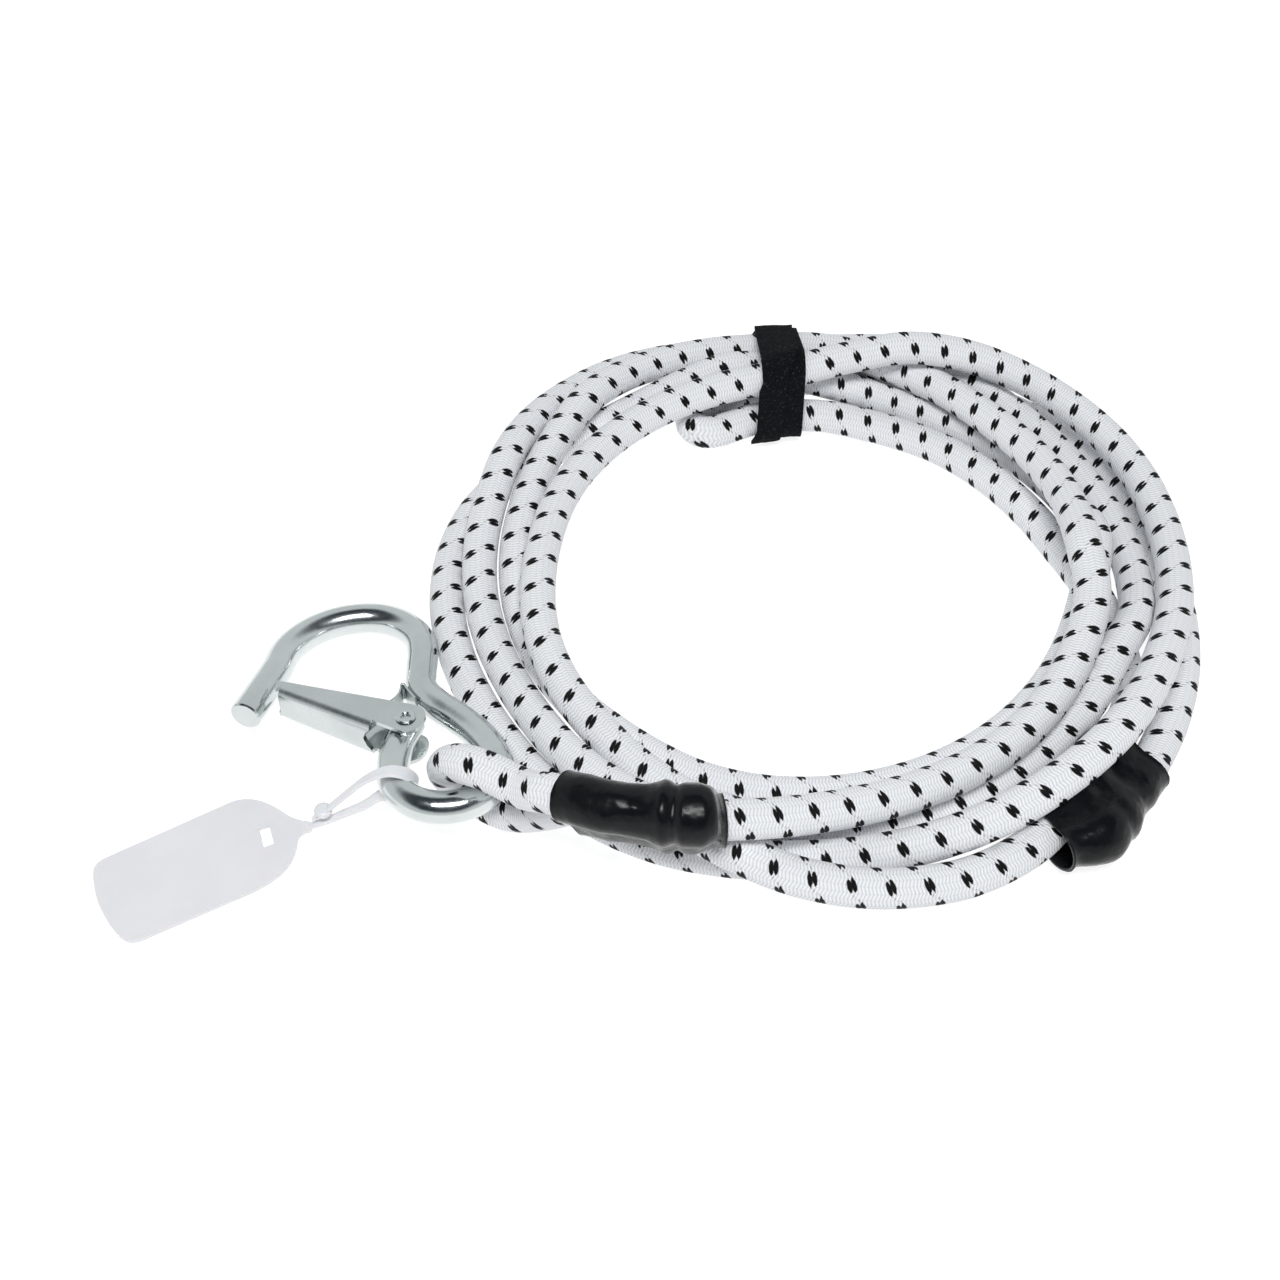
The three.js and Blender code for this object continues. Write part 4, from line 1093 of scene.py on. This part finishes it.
def make_gate():
    mesh = bmesh.new()
    rows = []
    for i in range(WEB_STATIONS + 1):
        places = to_part(gate_spots(gate_profile(i / WEB_STATIONS)))
        rows.append([mesh.verts.new(p) for p in places])
    for here, ahead in zip(rows, rows[1:]):
        for k in range(len(here) - 1):
            mesh.faces.new((here[k], ahead[k], ahead[k + 1], here[k + 1]))
    pivot_end = smooth_line([(x, y, 0) for x, y in GATE_PIVOT_PLACES], GATE_END_STEP)
    outline = [*GATE_TIP_PLACES, *((x, y) for x, y, _ in pivot_end)]
    for end, sign in ((0, 1), (-1, -1)):
        places = []
        for x, y in outline:
            inset = GATE_METAL / 2 if y > 0 else 0
            places.append((x, y - inset, sign * (gate_half_height(x) - GATE_METAL / 2)))
        free = [mesh.verts.new(p) for p in to_part(gate_spots(places))]
        mesh.faces.new([row[end] for row in rows] + free)
    piece = object_from(mesh, "gate_channel", gate_zinc)
    wall = piece.modifiers.new("wall", "SOLIDIFY")
    wall.thickness = GATE_METAL * MM
    wall.offset = 0
    wall.use_even_offset = True
    round_edges(piece, GATE_EDGE, GATE_EDGE_STEPS)
    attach(piece, "gate")
    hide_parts("gate")


make_gate()


def make_rivet():
    face = GATE_PIVOT_HALF_HEIGHT + RIVET_PLAY + RIVET_HEAD_HEIGHT
    half = [
        (RIVET_BORE_CENTRE, face - RIVET_BORE_DEPTH),
        (RIVET_BORE / 2, face - RIVET_BORE_DEPTH),
        (RIVET_BORE / 2, face - RIVET_CHAMFER),
        (RIVET_BORE / 2 + RIVET_CHAMFER, face),
        (RIVET_HEAD / 2 - RIVET_CHAMFER, face),
        (RIVET_HEAD / 2, face - RIVET_CHAMFER),
        (RIVET_HEAD / 2, face - RIVET_HEAD_HEIGHT),
        (RIVET_SHANK / 2, face - RIVET_HEAD_HEIGHT),
    ]
    profile = [(r, -z) for r, z in half] + half[::-1]
    turns = 2 * np.pi * np.arange(RIVET_SIDES) / RIVET_SIDES
    rings = [gate_spots([(r * math.cos(t), r * math.sin(t), z) for t in turns]) for r, z in profile]
    faces = capped(ring_faces(len(rings), RIVET_SIDES), len(rings), RIVET_SIDES)
    piece = make_object("rivet", np.vstack(rings), faces, "hook", zinc, smooth_angle=35)
    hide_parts("gate_rivet")


make_rivet()


def strip_rings(line, across, widths, thickness):
    """A flat strip with rounded edges, swept along a line."""
    rings = []
    last = len(line) - 1
    corners = [(1, -1), (1, 1), (-1, 1), (-1, -1)]
    round_edge = STRIP_ROUND_SHARE * thickness
    widths = np.broadcast_to(widths, len(line))
    for i, place in enumerate(line):
        ahead = unit(line[min(i + 1, last)] - line[max(i - 1, 0)])
        over = unit(np.cross(ahead, across))
        ring = []
        for a, b in corners:
            wide, high = a * widths[i] / 2, b * thickness / 2
            soft = [(wide - a * round_edge, high), (wide, high - b * round_edge)]
            if a * b > 0:
                soft.reverse()
            ring += [place + w * across + h * over for w, h in soft]
        rings.append(ring)
    return np.array(rings)


def strip_piece(name, rings, body, material):
    sides = rings.shape[1]
    faces = capped(ring_faces(len(rings), sides), len(rings), sides)
    return make_object(name, rings.reshape(-1, 3), faces, body, material)


def make_spring():
    """One leg lies under the gate's web; the other loops out through the notch to the shank."""
    under = GATE_METAL + SEAT_GAP + SPRING_METAL / 2
    leg = [(x, web_at(x) - under, 0) for x in SPRING_LEG_PLACES]
    line = smooth_line(leg + [(x, y, 0) for x, y in SPRING_FREE_PLACES], STRIP_STEP)
    across = unit(gate_spots([(0, 0, 1)])[0] - gate_spots([(0, 0, 0)])[0])
    rings = strip_rings(gate_spots(line), across, SPRING_WIDTH, SPRING_METAL)
    piece = strip_piece("leaf_spring", rings, "gate", spring_steel)
    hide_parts("gate_spring")
    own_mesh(piece)


make_spring()


# Marker tag

def make_plate():
    mesh = bmesh.new()
    outline = smooth_outline(TAG_PLACES)
    slot = TAG_SLOT_PLACES
    rings = []
    for level in (0, TAG_THICKNESS):
        loops = []
        for loop in (outline, slot):
            loops.append([mesh.verts.new(to_part((x, y, level))) for x, y in loop])
        rings.append(loops)
    for bottom, top in zip(rings[0], rings[1]):
        count = len(bottom)
        for k in range(count):
            mesh.faces.new((bottom[k], bottom[(k + 1) % count], top[(k + 1) % count], top[k]))
    for loops in rings:
        edges = []
        for loop in loops:
            count = len(loop)
            edges += [mesh.edges.get((loop[k], loop[(k + 1) % count])) for k in range(count)]
        bmesh.ops.triangle_fill(mesh, use_beauty=True, edges=edges)
    piece = object_from(mesh, "tag_plate", label)
    round_edges(piece, TAG_EDGE, TAG_EDGE_STEPS)
    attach(piece, "tag")
    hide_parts("marker_tag")


def smooth_outline(places):
    """The outline with each corner rounded between its neighbours."""
    points = np.asarray(places, float)
    fine = []
    for i, corner in enumerate(points):
        before, after = points[i - 1], points[(i + 1) % len(points)]
        shorter = min(np.linalg.norm(before - corner), np.linalg.norm(after - corner))
        reach = min(CORNER_REACH, CORNER_REACH_SHARE * shorter)
        a = corner + reach * unit(before - corner)
        b = corner + reach * unit(after - corner)
        for k in range(CORNER_STEPS + 1):
            t = k / CORNER_STEPS
            place = (1 - t) ** 2 * a + 2 * t * (1 - t) * corner + t * t * b
            if not fine or np.linalg.norm(place - fine[-1]) > OUTLINE_LEAST_STEP:
                fine.append(place)
    if np.linalg.norm(fine[0] - fine[-1]) < OUTLINE_LEAST_STEP:
        fine.pop()
    return [tuple(place) for place in fine]


make_plate()


def make_strap():
    """The strap widens from the plate, runs round the hook's eye bar, and comes back to its button."""
    loop = []
    for step in range(STRAP_LOOP_STEPS + 1):
        turn = math.radians(STRAP_LOOP_FROM + STRAP_LOOP_DEGREES * step / STRAP_LOOP_STEPS)
        loop.append(STRAP_CENTRE + STRAP_LOOP_RADIUS * np.array([math.cos(turn), 0, math.sin(turn)]))
    line = smooth_line([*STRAP_NECK_PLACES, *loop, *STRAP_FREE_PLACES], STRIP_STEP)
    across = np.array([0, math.cos(HOOK_LEAN), -math.sin(HOOK_LEAN)])
    neck = np.linspace(0, STRAP_NECK_SHARE, len(STRAP_WIDTHS))
    free = np.linspace(STRAP_FREE_SHARE, 1, len(STRAP_FREE_WIDTHS))
    share = np.linspace(0, 1, len(line))
    widths = np.interp(share, [*neck, *free], [*STRAP_WIDTHS, *STRAP_FREE_WIDTHS])
    rings = strip_rings(line, across, widths, STRAP_THICKNESS)
    strip_piece("strap", rings, "tag", label)


def make_strap_button():
    turns = 2 * np.pi * np.arange(STRAP_BUTTON_SIDES) / STRAP_BUTTON_SIDES
    rings = [
        STRAP_BUTTON_PLACE + np.array([(r * math.cos(t), r * math.sin(t), z) for t in turns])
        for r, z in zip(STRAP_BUTTON_RADII, STRAP_BUTTON_HEIGHTS)
    ]
    faces = capped(ring_faces(len(rings), STRAP_BUTTON_SIDES), len(rings), STRAP_BUTTON_SIDES)
    make_object("strap_button", np.vstack(rings), faces, "tag", label, smooth_angle=60)


make_strap()
make_strap_button()


# Studio

def make_floor():
    g = Graph("floor_white")
    mesh = bpy.data.meshes.new("floor")
    size = FLOOR_HALF_SIZE
    corners = [(-size, -size), (size, -size), (size, size), (-size, size)]
    mesh.from_pydata([(x, y, -FLOOR_DROP) for x, y in corners], [], [(0, 1, 2, 3)])
    floor = bpy.data.objects.new("floor", mesh)
    bpy.context.scene.collection.objects.link(floor)
    mesh.materials.append(g.surface(
        Base_Color=FLOOR_GREY, Roughness=1.0, Specular_IOR_Level=0.0,
        Emission_Color=WHITE, Emission_Strength=FLOOR_GLOW,
    ))


def aim(thing, place, target):
    thing.location = Vector(place)
    thing.rotation_euler = (Vector(target) - Vector(place)).to_track_quat("-Z", "Y").to_euler()


def make_light():
    data = bpy.data.lights.new("light_top", "AREA")
    data.shape = "RECTANGLE"
    data.size, data.size_y = LIGHT_SIZE
    data.energy = LIGHT_WATTS
    lamp = bpy.data.objects.new("light_top", data)
    bpy.context.scene.collection.objects.link(lamp)
    aim(lamp, LIGHT_PLACE, LIGHT_AIM)


def make_world():
    """Pale walls round a dark ceiling, which gives bare metal its dark bands."""
    world = bpy.data.worlds.new("studio")
    world.use_nodes = True
    tree = world.node_tree
    place = tree.nodes.new("ShaderNodeTexCoord")
    towards = tree.nodes.new("ShaderNodeVectorMath")
    towards.operation = "DOT_PRODUCT"
    towards.inputs[1].default_value = SKY_DARK_CENTRE
    ramp = tree.nodes.new("ShaderNodeValToRGB")
    tree.links.new(place.outputs["Generated"], towards.inputs[0])
    tree.links.new(towards.outputs["Value"], ramp.inputs["Fac"])
    tree.links.new(ramp.outputs["Color"], tree.nodes["Background"].inputs["Color"])
    stops = ramp.color_ramp.elements
    stops[0].position, stops[0].color = SKY_PALE_UP_TO, SKY_PALE
    stops[1].position, stops[1].color = SKY_DARK_FROM, SKY_DARK
    bpy.context.scene.world = world


def make_studio():
    make_floor()
    make_light()
    make_world()
    bpy.context.scene.view_settings.view_transform = "Standard"


def make_camera():
    data = bpy.data.cameras.new("camera")
    data.sensor_width = SENSOR_WIDTH
    data.lens = FOCAL_PIXELS / PHOTO_PIXELS * SENSOR_WIDTH
    camera = bpy.data.objects.new("camera", data)
    bpy.context.scene.collection.objects.link(camera)
    aim(camera, to_part(CAMERA_PLACE), to_part(CAMERA_AIM))
    bpy.context.scene.camera = camera


make_studio()
make_camera()
